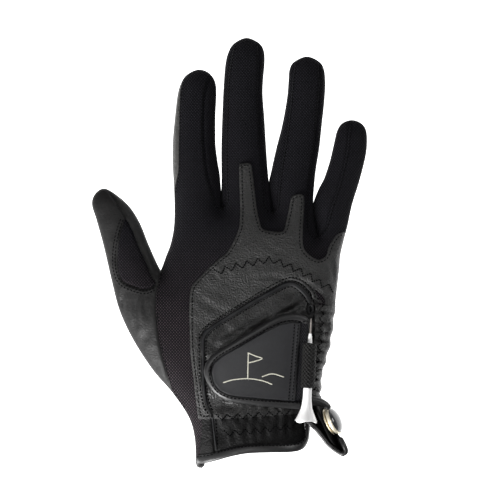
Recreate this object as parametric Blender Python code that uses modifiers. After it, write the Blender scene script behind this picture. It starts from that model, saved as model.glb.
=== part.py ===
"""Golf glove for a right hand, lying on its palm with the back of the hand up.

The hand is a hollow shell of separate leather and mesh panels. Each finger and the thumb is a tube of panels on a
hinge at its knuckle. A closure tab hinges beside an elastic strip, a tee slides out of an elastic loop, and a ball
marker pulls off its holder on the cuff flap.

Axes: +Y towards the fingertips, -X towards the thumb, +Z up from the palm, which rests on Z = 0.
Every size below is in millimetres and is scaled to metres when an object is placed.
"""

import math

import bmesh
import bpy
from mathutils import Matrix, Vector

MM = 0.001
GAP = 0.3
SKIN = 1.0
LAYER = SKIN + GAP
BOXY = 0.8

KNUCKLE_Z = 7.5
HAND_MID_Z = 8.0
PALM_DEPTH = 9.5
MOUTH_Y = -113.0
PALM_SETBACK = 5.2
NOTCH_SLOPE = 0.64

# Width and height of the hand shell: (y, value) pairs.
HAND_LEFT = (
    (-114, -18.4), (-100, -19), (-90, -22.3), (-80, -28), (-71, -36), (-61, -44.3), (-48, -52.5),
    (-38, -58), (-28, -61.3), (-18, -64), (-14, -64.5), (-9.5, -37), (5, -31), (22, -30), (30, -29),
)
HAND_RIGHT = (
    (-114, 38.5), (-108, 39.3), (-100, 41), (-92, 42.6), (-80, 46), (-71, 49.8), (-61, 52),
    (-48, 55.3), (-31, 57.5), (-18, 59), (2, 61.3), (12, 65), (30, 66),
)
HAND_RISE = ((-114, 9), (-90, 10), (-62, 13), (-20, 13), (5, 10), (28, 7))

# Each digit: knuckle centre, heading from +Y in degrees, length, then (distance, value) pairs for its
# sideways offset and half width.
DIGITS = {
    "index": ((-17.8, 22.5), 0.7, 78.5, ((0, 0), (40, -1.9), (78, 0)), ((0, 11.5), (40, 10.9), (78, 10.2))),
    "middle": ((8.8, 24.5), 0.2, 94.0, ((0, 0), (33, -0.9), (94, 0)), ((0, 11.4), (33, 10.8), (94, 10.0))),
    "ring": (
        (32.4, 19.0), 6.9, 89.7,
        ((0, 0), (32, 0), (49, 1.2), (79, 0.9), (90, 0)),
        ((0, 11.2), (32, 10.7), (50, 10.4), (80, 9.8)),
    ),
    "little": (
        (52.6, 8.0), 12.8, 66.6,
        ((0, 0), (24, 0), (36, 1.9), (54, 2), (66, 0)),
        ((0, 10.4), (24, 9.8), (36, 9.4), (54, 8.8)),
    ),
    "thumb": (
        (-51.5, -14.5), -20.3, 53.0,
        ((0, 0), (24, 1.6), (38, 1.5), (53, 0.4)),
        ((0, 13.2), (24, 10.9), (38, 9.7), (48, 8.6)),
    ),
}
DIGIT_RISE = 6.8
DIGIT_DEPTH = 7.9
THUMB_INSERT = ((-9.5, 1.5), (1.5, 1.5), (1.5, 12), (-0.5, 24), (-3.5, 33), (-7, 26), (-9.5, 14))

# Closure tab, tee and ball marker.
TAB_HINGE = (38.0, -59.0)
TAB_HEADING = 3.2
TEE_HEAD = (41.8, -92.1)
TEE_TIP = (44.6, -35.2)
TEE_LENGTH = 57.0
LOOP_BORE = 2.9
LOOP_WALL = 0.9
LOOP_LENGTH = 24.6
MARKER_CENTRE = (56.9, -92.1, 10.2)
MARKER_NORMAL = (0.86, 0.42, 0.28)
MARKER_RADIUS = 7.9
MARKER_BACK = 2.6

# Colours: (red, green, blue), roughness, metallic.
LEATHER = ((0.045, 0.046, 0.05), 0.5, 0.0)
MESH = ((0.012, 0.012, 0.014), 0.85, 0.0)
SMOOTH_FACE = ((0.05, 0.051, 0.055), 0.42, 0.0)
ELASTIC = ((0.01, 0.01, 0.012), 0.8, 0.0)
THREAD = ((0.03, 0.03, 0.033), 0.7, 0.0)
HOOK_PILE = ((0.015, 0.015, 0.016), 0.95, 0.0)
WHITE_PLASTIC = ((0.8, 0.79, 0.77), 0.35, 0.0)
STEEL = ((0.5, 0.5, 0.52), 0.25, 1.0)
GREY_PLASTIC = ((0.16, 0.16, 0.17), 0.2, 0.0)


def clear_scene():
    for item in list(bpy.data.objects):
        bpy.data.objects.remove(item, do_unlink=True)


def new_collection(name):
    made = bpy.data.collections.new(name)
    bpy.context.scene.collection.children.link(made)
    return made


def material(name, look):
    colour, roughness, metallic = look
    made = bpy.data.materials.new(name)
    made.use_nodes = True
    made.diffuse_color = (*colour, 1)
    shader = made.node_tree.nodes["Principled BSDF"]
    shader.inputs["Base Color"].default_value = (*colour, 1)
    shader.inputs["Roughness"].default_value = roughness
    shader.inputs["Metallic"].default_value = metallic
    return made


def along(table, at):
    """Value of a table of (place, value) pairs at one place, on straight lines between its points."""
    if at <= table[0][0]:
        return table[0][1]
    for (a, first), (b, second) in zip(table, table[1:]):
        if at <= b:
            return first + (second - first) * (at - a) / (b - a)
    return table[-1][1]


def signed_power(value, power):
    return math.copysign(abs(value) ** power, value)


def smooth_through(points, steps):
    """Points of a Catmull-Rom curve through the given points."""
    ends = [Vector(p) for p in points]
    padded = [2 * ends[0] - ends[1], *ends, 2 * ends[-1] - ends[-2]]
    found = []
    for a, b, c, d in zip(padded, padded[1:], padded[2:], padded[3:]):
        for step in range(steps):
            t = step / steps
            found.append(
                0.5 * (2 * b + (c - a) * t + (2 * a - 5 * b + 4 * c - d) * t**2 + (3 * b - a - 3 * c + d) * t**3)
            )
    return [*found, ends[-1]]


def hand_half(y):
    return (along(HAND_RIGHT, y) - along(HAND_LEFT, y)) / 2


def hand_centre(y):
    return (along(HAND_RIGHT, y) + along(HAND_LEFT, y)) / 2


def hand_point(y, angle, lift):
    """Point of the hand shell: angle 0 is the top, 90 the +X side and 180 the palm."""
    turn = math.radians(angle)
    x = hand_centre(y) + (hand_half(y) + lift) * signed_power(math.sin(turn), BOXY)
    rise = signed_power(math.cos(turn), BOXY)
    height = (along(HAND_RISE, y) + lift) if rise > 0 else PALM_DEPTH
    return Vector((x, y, max(0.0, HAND_MID_Z + height * rise)))


def top_z(x, y, lift=0.0):
    """Height of the back of the hand, raised by lift."""
    across = min(0.999, abs(x - hand_centre(y)) / (hand_half(y) + lift))
    return HAND_MID_Z + (along(HAND_RISE, y) + lift) * (1 - across ** (2 / BOXY)) ** (BOXY / 2)


def finish(obj, name, look, parent=None, group=None):
    """Names an object, gives it its material and puts it in its collection."""
    obj.name = name
    obj.data.name = name
    obj.data.materials.clear()
    obj.data.materials.append(material(name, look))
    for owner in list(obj.users_collection):
        owner.objects.unlink(obj)
    (group or GLOVE).objects.link(obj)
    if parent:
        obj.parent = parent
    return obj


def pivot(name, x, y, z, heading):
    """Empty on a joint's axis, turned so that its +Y points along the heading."""
    made = bpy.data.objects.new(name, None)
    made.empty_display_size = 0.01
    made.location = (x * MM, y * MM, z * MM)
    made.rotation_euler = (0, 0, -math.radians(heading))
    GLOVE.objects.link(made)
    return made


def surface(name, rows, columns, place, inside):
    """Open grid laid on a surface by place(u, v), with its faces turned away from the point inside(u, v)."""
    shape = bmesh.new()
    bmesh.ops.create_grid(shape, x_segments=rows, y_segments=columns, size=0.5)
    middle = min(shape.faces, key=lambda f: f.calc_center_median().length)
    where = middle.calc_center_median()
    core = Vector(inside(where.x + 0.5, where.y + 0.5)) * MM
    for vertex in shape.verts:
        vertex.co = Vector(place(vertex.co.x + 0.5, vertex.co.y + 0.5)) * MM
    shape.normal_update()
    if middle.normal.dot(middle.calc_center_median() - core) < 0:
        bmesh.ops.reverse_faces(shape, faces=shape.faces)
    mesh = bpy.data.meshes.new(name)
    shape.to_mesh(mesh)
    shape.free()
    return bpy.data.objects.new(name, mesh)


def thicken(obj, thickness, offset=-1):
    solid = obj.modifiers.new("thickness", "SOLIDIFY")
    solid.thickness = thickness * MM
    solid.offset = offset
    solid.use_even_offset = True
    solid.use_quality_normals = True


def prism(name, outline, low, high):
    """Upright prism on a flat outline, as a mesh that a Boolean can use."""
    curve = bpy.data.curves.new(name, "CURVE")
    curve.dimensions = "2D"
    curve.fill_mode = "BOTH"
    curve.extrude = (high - low) / 2 * MM
    spline = curve.splines.new("POLY")
    spline.points.add(len(outline) - 1)
    for point, (x, y) in zip(spline.points, outline):
        point.co = (x * MM, y * MM, 0, 1)
    spline.use_cyclic_u = True
    flat = bpy.data.objects.new(name, curve)
    GLOVE.objects.link(flat)
    bpy.context.view_layer.update()
    graph = bpy.context.evaluated_depsgraph_get()
    mesh = bpy.data.meshes.new_from_object(flat.evaluated_get(graph))
    bpy.data.objects.remove(flat, do_unlink=True)
    shape = bmesh.new()
    shape.from_mesh(mesh)
    bmesh.ops.remove_doubles(shape, verts=shape.verts, dist=1e-6)
    bmesh.ops.recalc_face_normals(shape, faces=shape.faces)
    shape.to_mesh(mesh)
    shape.free()
    made = bpy.data.objects.new(name, mesh)
    made.location.z = (high + low) / 2 * MM
    made.hide_render = True
    made.display_type = "WIRE"
    CUTTERS.objects.link(made)
    return made


def cut(obj, cutter, operation):
    step = obj.modifiers.new(operation.lower(), "BOOLEAN")
    step.operation = operation
    step.solver = "EXACT"
    step.object = cutter


def hand_panel(name, look, outline, lift=0.0, palm=False, parent=None, rows=21, columns=16):
    """Panel of the hand shell: the part of one layer that lies over an outline."""
    first, last = (91.6, 268.4) if palm else (-88.6, 88.6)

    def place(u, v):
        return hand_point(MOUTH_Y + u * 141, first + v * (last - first), lift)

    def inside(u, v):
        y = MOUTH_Y + u * 141
        return (hand_centre(y), y, HAND_MID_Z)

    obj = surface(name, rows, columns, place, inside)
    thicken(obj, SKIN)
    cut(obj, prism(name + "_outline", outline, -5, 60), "INTERSECT")
    finish(obj, name, look)
    if parent:
        obj.parent = parent
        obj.matrix_parent_inverse = pivot_inverse(parent)
    return obj


def pivot_inverse(parent):
    turned = Matrix.Translation(parent.location) @ Matrix.Rotation(parent.rotation_euler.z, 4, "Z")
    return turned.inverted()


def tube(name, look, points, radius, parent=None, closed=False):
    """Round cord through points, with filled ends."""
    curve = bpy.data.curves.new(name, "CURVE")
    curve.dimensions = "3D"
    curve.bevel_depth = radius * MM
    curve.bevel_resolution = 2
    curve.use_fill_caps = not closed
    spline = curve.splines.new("POLY")
    spline.points.add(len(points) - 1)
    for target, point in zip(spline.points, points):
        target.co = (*(Vector(point) * MM), 1)
    spline.use_cyclic_u = closed
    obj = bpy.data.objects.new(name, curve)
    finish(obj, name, look)
    if parent:
        obj.parent = parent
        obj.matrix_parent_inverse = pivot_inverse(parent)
    return obj


def tube_on_back(name, look, points, radius, lift, steps=3, parent=None):
    """Cord that lies on the back of the hand, lift above it."""
    flat = smooth_through([(x, y, 0) for x, y in points], steps)
    placed = [(p.x, p.y, top_z(p.x, p.y, lift) + radius) for p in flat]
    return tube(name, look, placed, radius, parent)


def band_on_back(name, look, points, width, lift, steps=4):
    """Thin stitched elastic band that lies on the back of the hand."""
    line = smooth_through([(x, y, 0) for x, y in points], steps)

    def place(u, v):
        at = u * (len(line) - 1)
        low = min(int(at), len(line) - 2)
        step = line[low + 1] - line[low]
        spot = line[low] + step * (at - low)
        side = Vector((-step.y, step.x, 0)).normalized() * (v - 0.5) * width
        spot = spot + side
        return (spot.x, spot.y, top_z(spot.x, spot.y, lift))

    def inside(u, v):
        spot = Vector(place(u, v))
        return spot - Vector((0, 0, 10))

    obj = surface(name, len(line) - 1, 2, place, inside)
    thicken(obj, 0.5, offset=1)
    return finish(obj, name, look)


def digit_stations(length, half):
    """Distances along a digit with the factor that its section shrinks by: straight, then a round tip."""
    reach = length - half
    shaft = [(reach * step / 6, 1.0) for step in range(7)]
    tip = [(reach + half * math.sin(math.radians(a)), math.cos(math.radians(a))) for a in (28, 52, 74)]
    return shaft + tip


def digit_panel(digit, name, look, first, last, columns, lift=0.0, until=None, parent=None):
    """Strip of a digit's tube between two angles, in the frame of its knuckle pivot."""
    _, _, length, offset, half = DIGITS[digit]
    stations = digit_stations(length, along(half, length))
    if until:
        stations = [(until * step / 5, 1.0) for step in range(6)]
    clear = GAP * 0.75

    def place(u, v):
        distance, shrink = stations[round(u * (len(stations) - 1))]
        wide = along(half, distance) * shrink + lift
        rise = DIGIT_RISE * shrink + lift
        margin = math.degrees(clear / min(wide, rise))
        turn = math.radians(first + margin + v * (last - first - 2 * margin))
        x = along(offset, distance) + wide * signed_power(math.sin(turn), BOXY)
        up = signed_power(math.cos(turn), BOXY)
        z = rise * up if up > 0 else DIGIT_DEPTH * shrink * up
        z = max(z, -KNUCKLE_Z)
        start = GAP + max(0.0, -z) * NOTCH_SLOPE
        return (x, start + distance * (1 - start / length), z)

    def inside(u, v):
        distance, _ = stations[round(u * (len(stations) - 1))]
        return (along(offset, distance), distance, 0)

    obj = surface(name, len(stations) - 1, columns, place, inside)
    thicken(obj, SKIN)
    return finish(obj, name, look, parent)


def build_digits():
    for digit, ((x, y), heading, *_) in DIGITS.items():
        knuckle = pivot(digit + "_knuckle", x, y, KNUCKLE_Z, heading)
        if digit == "thumb":
            build_thumb(knuckle)
        elif digit == "index":
            digit_panel(digit, "index_back", MESH, -52, 52, 6, parent=knuckle)
            digit_panel(digit, "index_radial_strip", LEATHER, -112, -52, 3, parent=knuckle)
            digit_panel(digit, "index_gusset", MESH, 52, 112, 3, parent=knuckle)
            digit_panel(digit, "index_front", LEATHER, 112, 248, 7, parent=knuckle)
        elif digit == "little":
            digit_panel(digit, "little_back", MESH, 2, 112, 6, parent=knuckle)
            digit_panel(digit, "little_gusset", MESH, -112, 2, 6, parent=knuckle)
            digit_panel(digit, "little_front", LEATHER, 112, 248, 7, parent=knuckle)
        else:
            digit_panel(digit, digit + "_back", MESH, -54, 54, 6, parent=knuckle)
            digit_panel(digit, digit + "_gusset_ulnar", MESH, 54, 112, 3, parent=knuckle)
            digit_panel(digit, digit + "_gusset_radial", MESH, -112, -54, 3, parent=knuckle)
            digit_panel(digit, digit + "_front", LEATHER, 112, 248, 7, parent=knuckle)
            reach = 24 if digit == "middle" else 13
            digit_panel(
                digit, digit + "_knuckle_patch", LEATHER, -26, 26, 3, lift=LAYER, until=reach, parent=knuckle
            )


def build_thumb(knuckle):
    digit_panel("thumb", "thumb_front", LEATHER, 96, 264, 8, parent=knuckle)
    digit_panel("thumb", "thumb_inner", LEATHER, 8, 96, 5, parent=knuckle)
    outer = digit_panel("thumb", "thumb_outer", LEATHER, -96, 8, 6, parent=knuckle)
    insert = digit_panel("thumb", "thumb_insert", MESH, -96, 8, 6, parent=knuckle)
    middle = sum((Vector(p) for p in THUMB_INSERT), Vector((0, 0))) / len(THUMB_INSERT)
    window = [tuple(Vector(p) + (Vector(p) - middle).normalized()) for p in THUMB_INSERT]
    window[0] = (window[0][0], -2)
    window[1] = (window[1][0] + 4, -2)
    window[2] = (window[2][0] + 4, window[2][1])
    for piece, outline, operation in (
        (outer, window, "DIFFERENCE"),
        (insert, THUMB_INSERT, "INTERSECT"),
    ):
        cutter = prism(piece.name + "_window", outline, 0.5, 20)
        cutter.parent = knuckle
        cut(piece, cutter, operation)


def build_hand():
    hand_panel(
        "palm_leather", LEATHER,
        (
            (-80, -30.5), (-38.4, -15.2), (-38.4, 17), (-6, 16.8), (-3, 19), (20.6, 19), (21, 14.4),
            (41.4, 12), (41.8, 4.7), (80, -4), (80, -125), (-80, -125),
        ),
        palm=True,
    )
    hand_panel(
        "thenar_leather", LEATHER,
        (
            (-38.2, -10.3), (-80, -25.8), (-80, -81.5), (-27.3, -81.5), (-31.8, -75), (-35.7, -62),
            (-38.4, -49), (-40.1, -36), (-40.6, -25), (-39.5, -17.3),
        ),
    )
    hand_panel(
        "back_mesh", MESH,
        (
            (-37.6, -10.3), (-38.9, -17.3), (-40, -25), (-39.5, -36), (-37.8, -49.2), (-35.1, -62), (-31.2, -75),
            (-26.7, -81.5), (-60, -82), (-60, -125), (-15.7, -125), (-15.7, -44.6), (-9.8, -39.5), (3.4, -29.9),
            (20.3, -19.9), (31.9, -15), (39.3, -16.3), (46, -22.8), (46.4, -25.2), (80, -25.2), (80, 1.3),
            (42.3, 9.9), (42, 17.4), (21, 20), (20.6, 24.1), (-3, 24.1), (-6, 21.9), (-35, 22.2), (-37, -9),
        ),
    )
    hand_panel(
        "closure_under_panel", LEATHER,
        (
            (-15.3, -86), (-15.3, -44.9), (-9.5, -40), (3.6, -30.4), (20.5, -20.4), (32, -15.5), (39, -16.8),
            (45.6, -23), (46, -25.5), (46, -86),
        ),
    )
    hand_panel(
        "knuckle_overlay", LEATHER,
        (
            (5, 23.9), (4.1, 11.3), (-0.8, 1.4), (-6.3, -3.6), (-16.8, -13.5), (-21.2, -19.5), (-21.7, -30.5),
            (-21.7, -41.5), (-20.6, -58), (-17.6, -86), (-15.4, -86), (-15.4, -44.7), (-9.9, -39.4),
            (3.3, -29.8), (20.2, -19.8), (31.9, -14.9), (39, -16.2), (44.8, -21), (47.8, -25.4), (80, -25.4),
            (80, 1), (56.2, 6.6), (54.2, 3.6), (52.5, -2.5), (48, -3.6), (41.5, 0.8), (39.9, 3.6), (40.4, 17.4),
            (31.3, 18.5), (30, 14), (28.9, 11), (17.3, 13.5), (15, 23.9),
        ),
        lift=LAYER,
    )
    hand_panel("side_leather", LEATHER, ((46.4, -25.7), (80, -25.7), (80, -86), (46.4, -86)))
    hand_panel("cuff_side_panel", LEATHER, ((-15.3, -86.4), (-8.5, -86.4), (-8.1, -125), (-15.3, -125)))
    hand_panel("cuff_panel", LEATHER, ((-8.1, -86.4), (80, -86.4), (80, -125), (-7.7, -125)))


def build_bindings():
    slit = (
        (-13.6, -84), (-13.6, -64), (-13.4, -46.5), (-8.4, -41.2), (4.3, -31.8), (21, -22), (32, -17.3),
        (38.4, -18.6), (43.2, -23), (44.6, -26),
    )
    tube_on_back("slit_binding", ELASTIC, slit, 0.9, 2 * GAP)
    curl = (44.4, -30.4)
    bpy.ops.mesh.primitive_torus_add(
        major_radius=2.0 * MM, minor_radius=0.75 * MM, major_segments=14, minor_segments=6,
        location=(curl[0] * MM, curl[1] * MM, (top_z(41.5, -30.4) + 1.4) * MM),
    )
    finish(bpy.context.object, "slit_curl", ELASTIC)
    mouth = []
    for step in range(24):
        point = hand_point(MOUTH_Y, step * 15, -SKIN / 2)
        mouth.append((point.x, MOUTH_Y - 1.3 - GAP, max(point.z, 1.3)))
    tube("wrist_binding", ELASTIC, mouth, 1.3, closed=True)
    band_on_back(
        "knuckle_elastic", THREAD,
        ((-8.5, -12.4), (-5, -8.8), (10, -5.8), (21, -3.6), (27, -4.8), (35, -8), (44, -12.4), (50, -16)),
        3.5, LAYER + 2 * GAP,
    )
    band_on_back(
        "side_elastic", THREAD, ((49.6, -30), (49.2, -44), (47.6, -58), (46.9, -70)), 2.4, 2 * GAP,
    )
    band_on_back(
        "cuff_elastic_upper", THREAD, ((-6.6, -90), (7, -89), (21, -88.3), (31, -87.9)), 2.2, 2 * GAP,
    )
    band_on_back(
        "cuff_elastic_lower", THREAD, ((-2.5, -98.7), (10, -97.6), (22, -96.6), (32, -95.6)), 2.8, 2 * GAP,
    )


def build_closure():
    x, y = TAB_HINGE
    hinge = pivot("tab_hinge", x, y, top_z(x, y, 2 * LAYER), TAB_HEADING)
    hand_panel("loop_pile_patch", HOOK_PILE, ((-6, -58), (14, -48), (14, -78), (-1, -75)), lift=LAYER)
    hand_panel(
        "tab_hook_patch", HOOK_PILE, ((-5, -59), (15, -47), (15, -78), (-1, -74)), lift=2 * LAYER, parent=hinge,
    )
    hand_panel(
        "tab_face", SMOOTH_FACE,
        (
            (-9.2, -65.7), (-7.5, -60.5), (-3.4, -56.5), (27.2, -39.6), (33.8, -37.9), (38.3, -38.3), (35.7, -79.8),
            (0.8, -77.4), (-5.8, -74.4), (-8.6, -70.5),
        ),
        lift=3 * LAYER, parent=hinge,
    )
    rim = (
        (38.0, -35.9), (33.8, -35.3), (27.2, -36.6), (14, -43.2), (-5.6, -54.7), (-10.2, -60), (-11.6, -66),
        (-10, -72.4), (-4.8, -77.5), (5.8, -80.3), (35.4, -82.3),
    )
    tube_on_back("tab_binding", ELASTIC, rim, 1.4, 2 * LAYER, parent=hinge)
    hand_panel("tab_elastic_strip", ELASTIC, ((39.6, -36), (43.4, -36), (40.2, -83), (37.2, -83)), lift=LAYER)


def tee_height():
    """Height of the tee's axis, which puts its loop on top of the elastic strip."""
    highest = max(top_z(39.6, y, LAYER) for y in (-49, -61, -73))
    return highest + LOOP_BORE + LOOP_WALL + GAP


def turned(name, look, profile, steps):
    """Solid turned from a profile of (radius, height) points that runs from its top to its bottom."""
    shape = bmesh.new()
    corners = [shape.verts.new((r * MM, 0, z * MM)) for r, z in profile]
    for a, b in zip(corners, corners[1:]):
        shape.edges.new((a, b))
    mesh = bpy.data.meshes.new(name)
    shape.to_mesh(mesh)
    shape.free()
    obj = bpy.data.objects.new(name, mesh)
    screw = obj.modifiers.new("turn", "SCREW")
    screw.steps = steps
    screw.render_steps = steps
    screw.use_merge_vertices = True
    screw.merge_threshold = 1e-6
    finish(obj, name, look)
    return obj


def build_tee():
    head = Vector((*TEE_HEAD, tee_height()))
    tip = Vector((*TEE_TIP, tee_height()))
    lie = (tip - head).to_track_quat("Z", "Y").to_euler()
    tee = turned(
        "tee", WHITE_PLASTIC,
        (
            (0, 0), (0.35, -2.5), (0.45, -8.5), (0.8, -9.2), (1.4, -14), (2.1, -28), (2.4, -44), (3.1, -49),
            (4.4, -52.5), (5.8, -55.4), (6.0, -56.6), (5.3, -57), (2.5, -55.9), (0, -55.4),
        ),
        16,
    )
    tee.location = tip * MM
    tee.rotation_euler = lie
    middle = head.lerp(tip, 0.545)
    bpy.ops.mesh.primitive_cylinder_add(
        vertices=20, radius=(LOOP_BORE + LOOP_WALL) * MM, depth=LOOP_LENGTH * MM, end_fill_type="NOTHING",
        location=middle * MM, rotation=lie,
    )
    loop = bpy.context.object
    thicken(loop, LOOP_WALL)
    finish(loop, "tee_loop", ELASTIC)


def marker_frame(out):
    """Matrix of the ball marker's plane: local +Z along its normal, local +Y up the flap, out mm off its centre."""
    normal = Vector(MARKER_NORMAL).normalized()
    down = Vector((0.474, -0.88, 0))
    down = (down - normal * down.dot(normal)).normalized()
    up = normal.cross(down)
    centre = (Vector(MARKER_CENTRE) + normal * out) * MM
    turn = Matrix((down, up, normal)).transposed().to_4x4()
    return Matrix.Translation(centre) @ turn


def build_marker():
    outline = (
        (-14, -5), (-10, -7.2), (2, -7.8), (10, -7.2), (17, -4.5), (20, -1.5), (20, 1.5), (16, 4.5), (8, 7),
        (-2, 7.8), (-10, 7.2), (-14, 4),
    )
    line = smooth_through([(x, y, 0) for x, y in (*outline, outline[0])], 2)[:-1]
    curve = bpy.data.curves.new("marker_flap", "CURVE")
    curve.dimensions = "2D"
    curve.fill_mode = "BOTH"
    curve.extrude = 0.7 * MM
    spline = curve.splines.new("POLY")
    spline.points.add(len(line) - 1)
    for target, point in zip(spline.points, line):
        target.co = (*(point * MM), 1)
    spline.use_cyclic_u = True
    flap = bpy.data.objects.new("marker_flap", curve)
    flap.matrix_world = marker_frame(-MARKER_BACK - 0.7)
    finish(flap, "marker_flap", LEATHER)

    edge = [(x, y, 0) for x, y in ((-10, -8.8), (2, -9.4), (10, -8.8), (17.6, -5.9), (21.6, -2))]
    placed = [marker_frame(-MARKER_BACK - 0.7) @ (p * MM) / MM for p in smooth_through(edge, 4)]
    tube("marker_flap_binding", ELASTIC, placed, 1.1)

    bpy.ops.mesh.primitive_cylinder_add(vertices=24, radius=7.2 * MM, depth=1.3 * MM)
    base = bpy.context.object
    base.matrix_world = marker_frame(-MARKER_BACK + GAP + 0.65)
    finish(base, "marker_holder", GREY_PLASTIC)

    cup = turned(
        "marker_rim", STEEL,
        ((MARKER_RADIUS - 0.9, 2.0), (MARKER_RADIUS - 0.3, 2.0), (MARKER_RADIUS, 1.6), (MARKER_RADIUS, 0.0),
         (0, 0), (0, 1.0), (MARKER_RADIUS - 0.9, 1.0), (MARKER_RADIUS - 0.9, 2.0)),
        24,
    )
    cup.matrix_world = marker_frame(-MARKER_BACK + GAP + 1.3 + GAP)
    radius = MARKER_RADIUS - 0.9 - GAP
    dome = turned(
        "marker_face", GREY_PLASTIC,
        ((0, 1.9), (2.4, 1.8), (4.4, 1.4), (5.8, 0.9), (radius, 0.4), (radius, 0), (0, 0)), 24,
    )
    dome.matrix_world = marker_frame(-MARKER_BACK + GAP + 1.3 + GAP + 1.0 + GAP)


clear_scene()
GLOVE = new_collection("golf_glove")
CUTTERS = new_collection("cutters")
build_digits()
build_hand()
build_bindings()
build_closure()
build_tee()
build_marker()
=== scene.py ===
"""Looks of a right-hand golf glove that lies on its palm, with a tee in its loop and a ball marker.

The soft shell starts as one flat outline, cut along every seam. The flat shape is inflated like a membrane
held at its outline, and each leather or knit panel is one closed sheet of that surface, lifted, grooved and
wrinkled in its own way. Lengths are in millimetres in the row frame, and become metres in a mesh.
"""

import math

import bpy
import numpy as np
from mathutils import Matrix, Vector, noise
from mathutils.bvhtree import BVHTree
from mathutils.geometry import delaunay_2d_cdt
from mathutils.kdtree import KDTree


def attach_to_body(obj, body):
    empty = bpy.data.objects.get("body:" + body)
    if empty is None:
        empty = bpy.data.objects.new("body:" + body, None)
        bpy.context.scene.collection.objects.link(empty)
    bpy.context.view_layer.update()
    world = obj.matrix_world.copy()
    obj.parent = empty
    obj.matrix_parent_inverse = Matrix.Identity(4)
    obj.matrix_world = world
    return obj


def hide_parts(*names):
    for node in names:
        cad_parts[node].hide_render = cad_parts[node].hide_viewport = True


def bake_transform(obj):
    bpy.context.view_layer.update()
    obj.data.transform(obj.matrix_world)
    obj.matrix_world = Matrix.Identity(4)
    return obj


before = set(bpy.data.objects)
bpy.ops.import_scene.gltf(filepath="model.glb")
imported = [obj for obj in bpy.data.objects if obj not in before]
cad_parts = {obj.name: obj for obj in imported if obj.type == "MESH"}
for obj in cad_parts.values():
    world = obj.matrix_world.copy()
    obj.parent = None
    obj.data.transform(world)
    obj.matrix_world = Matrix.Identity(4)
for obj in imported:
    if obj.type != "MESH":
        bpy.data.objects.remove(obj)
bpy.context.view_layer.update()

MM = 0.001
EQUATOR_Z = 7.5
MEMBRANE = 10.0
FINGER_RISE = 6.6
FINGER_HALF_WIDTH = 10.6
PALM_DEPTH = 7.3
WRAP_RADIUS = 8.5
SHEET = 0.8
SEAM_STEP = 0.715
COARSE = 1.5
STITCH_LIMIT = -106
UP = (0.0, 0.0, 1.0)

# Edges of the silhouette, each from the wrist or crotch side towards the tip.
THENAR_EDGE = (
    (-18.2, -113.6), (-19, -101), (-22.2, -90), (-31, -76.8), (-42, -64), (-53, -47), (-60.4, -31),
    (-64.6, -15), (-69, 4), (-73, 18.5), (-75.5, 27), (-74.1, 32.3), (-70, 35.4), (-65, 33.8), (-56, 26.4),
    (-49.8, 17), (-44.9, 5), (-40.6, -4.7),
)
THUMB_CROTCH = (-37.9, -10.0)
INDEX_EDGE = (
    (-36.6, -7), (-34.6, -1.4), (-32.2, 5), (-30.4, 14), (-30, 24), (-30.3, 36), (-31, 48), (-31, 61),
    (-29.7, 76), (-28.2, 88), (-26, 94.6), (-22.8, 98.6), (-17, 101), (-11.6, 99.3), (-8.3, 94.8),
    (-7.5, 88), (-8, 76), (-8, 61), (-6.9, 51), (-5.7, 44), (-5.1, 37), (-4.6, 31),
)
CROTCH_1 = (-4.5, 24.8)
MIDDLE_EDGE = (
    (-4.45, 31), (-4.1, 39), (-4.2, 58), (-3.6, 78), (-3, 91), (-2, 104), (-0.3, 110.8), (2.6, 115.4),
    (9.1, 118.5), (15.4, 116.2), (18.4, 112.4), (19.1, 106), (18.2, 95), (18, 87), (18.9, 75), (19.8, 60),
    (20.7, 47), (21.55, 38), (22.6, 29),
)
CROTCH_2 = (23.3, 22.6)
RING_EDGE = (
    (22.78, 29), (21.8, 37.5), (23.2, 45), (26.1, 58), (29.4, 71), (31.9, 85), (32.8, 95), (33.3, 101),
    (35.6, 105.2), (42.6, 108.2), (49, 105.6), (51.7, 101.6), (52.5, 94), (52, 84), (50.6, 71), (49.2, 58),
    (47.3, 46), (46.2, 35), (45.85, 27.5), (46.25, 21), (47.3, 13.5),
)
CROTCH_3 = (47.7, 8.6)
LITTLE_EDGE = (
    (47.48, 13.5), (46.45, 21), (46.25, 27), (49.2, 35), (52.5, 41.5), (55.6, 51), (58, 61.3), (59.6, 67.6),
    (62.4, 71.6), (67.4, 73.2), (72.4, 71.5), (75, 67.6), (75.5, 61), (74.6, 53), (71.3, 40), (67.3, 27),
    (64.8, 15.5), (62.6, 7), (60.8, -1),
)
HEEL_EDGE = (
    (60.2, -8), (59.1, -18), (58.2, -26), (58.1, -31.5), (57, -36), (57, -41.5), (55.5, -46), (55.4, -51),
    (53.4, -55.5), (52.9, -60), (51.2, -63.2), (51, -66.8), (50.1, -70), (50.6, -74), (49.4, -77.2),
    (50.4, -80), (46.6, -84.4), (43.6, -92), (42.3, -100), (40.4, -105.8),
)
WRIST_EDGE = ((33.3, -106.9), (23.4, -107.2), (11.3, -107.6), (1.1, -109.2), (-8, -111.8), (-14, -113.4))

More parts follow.
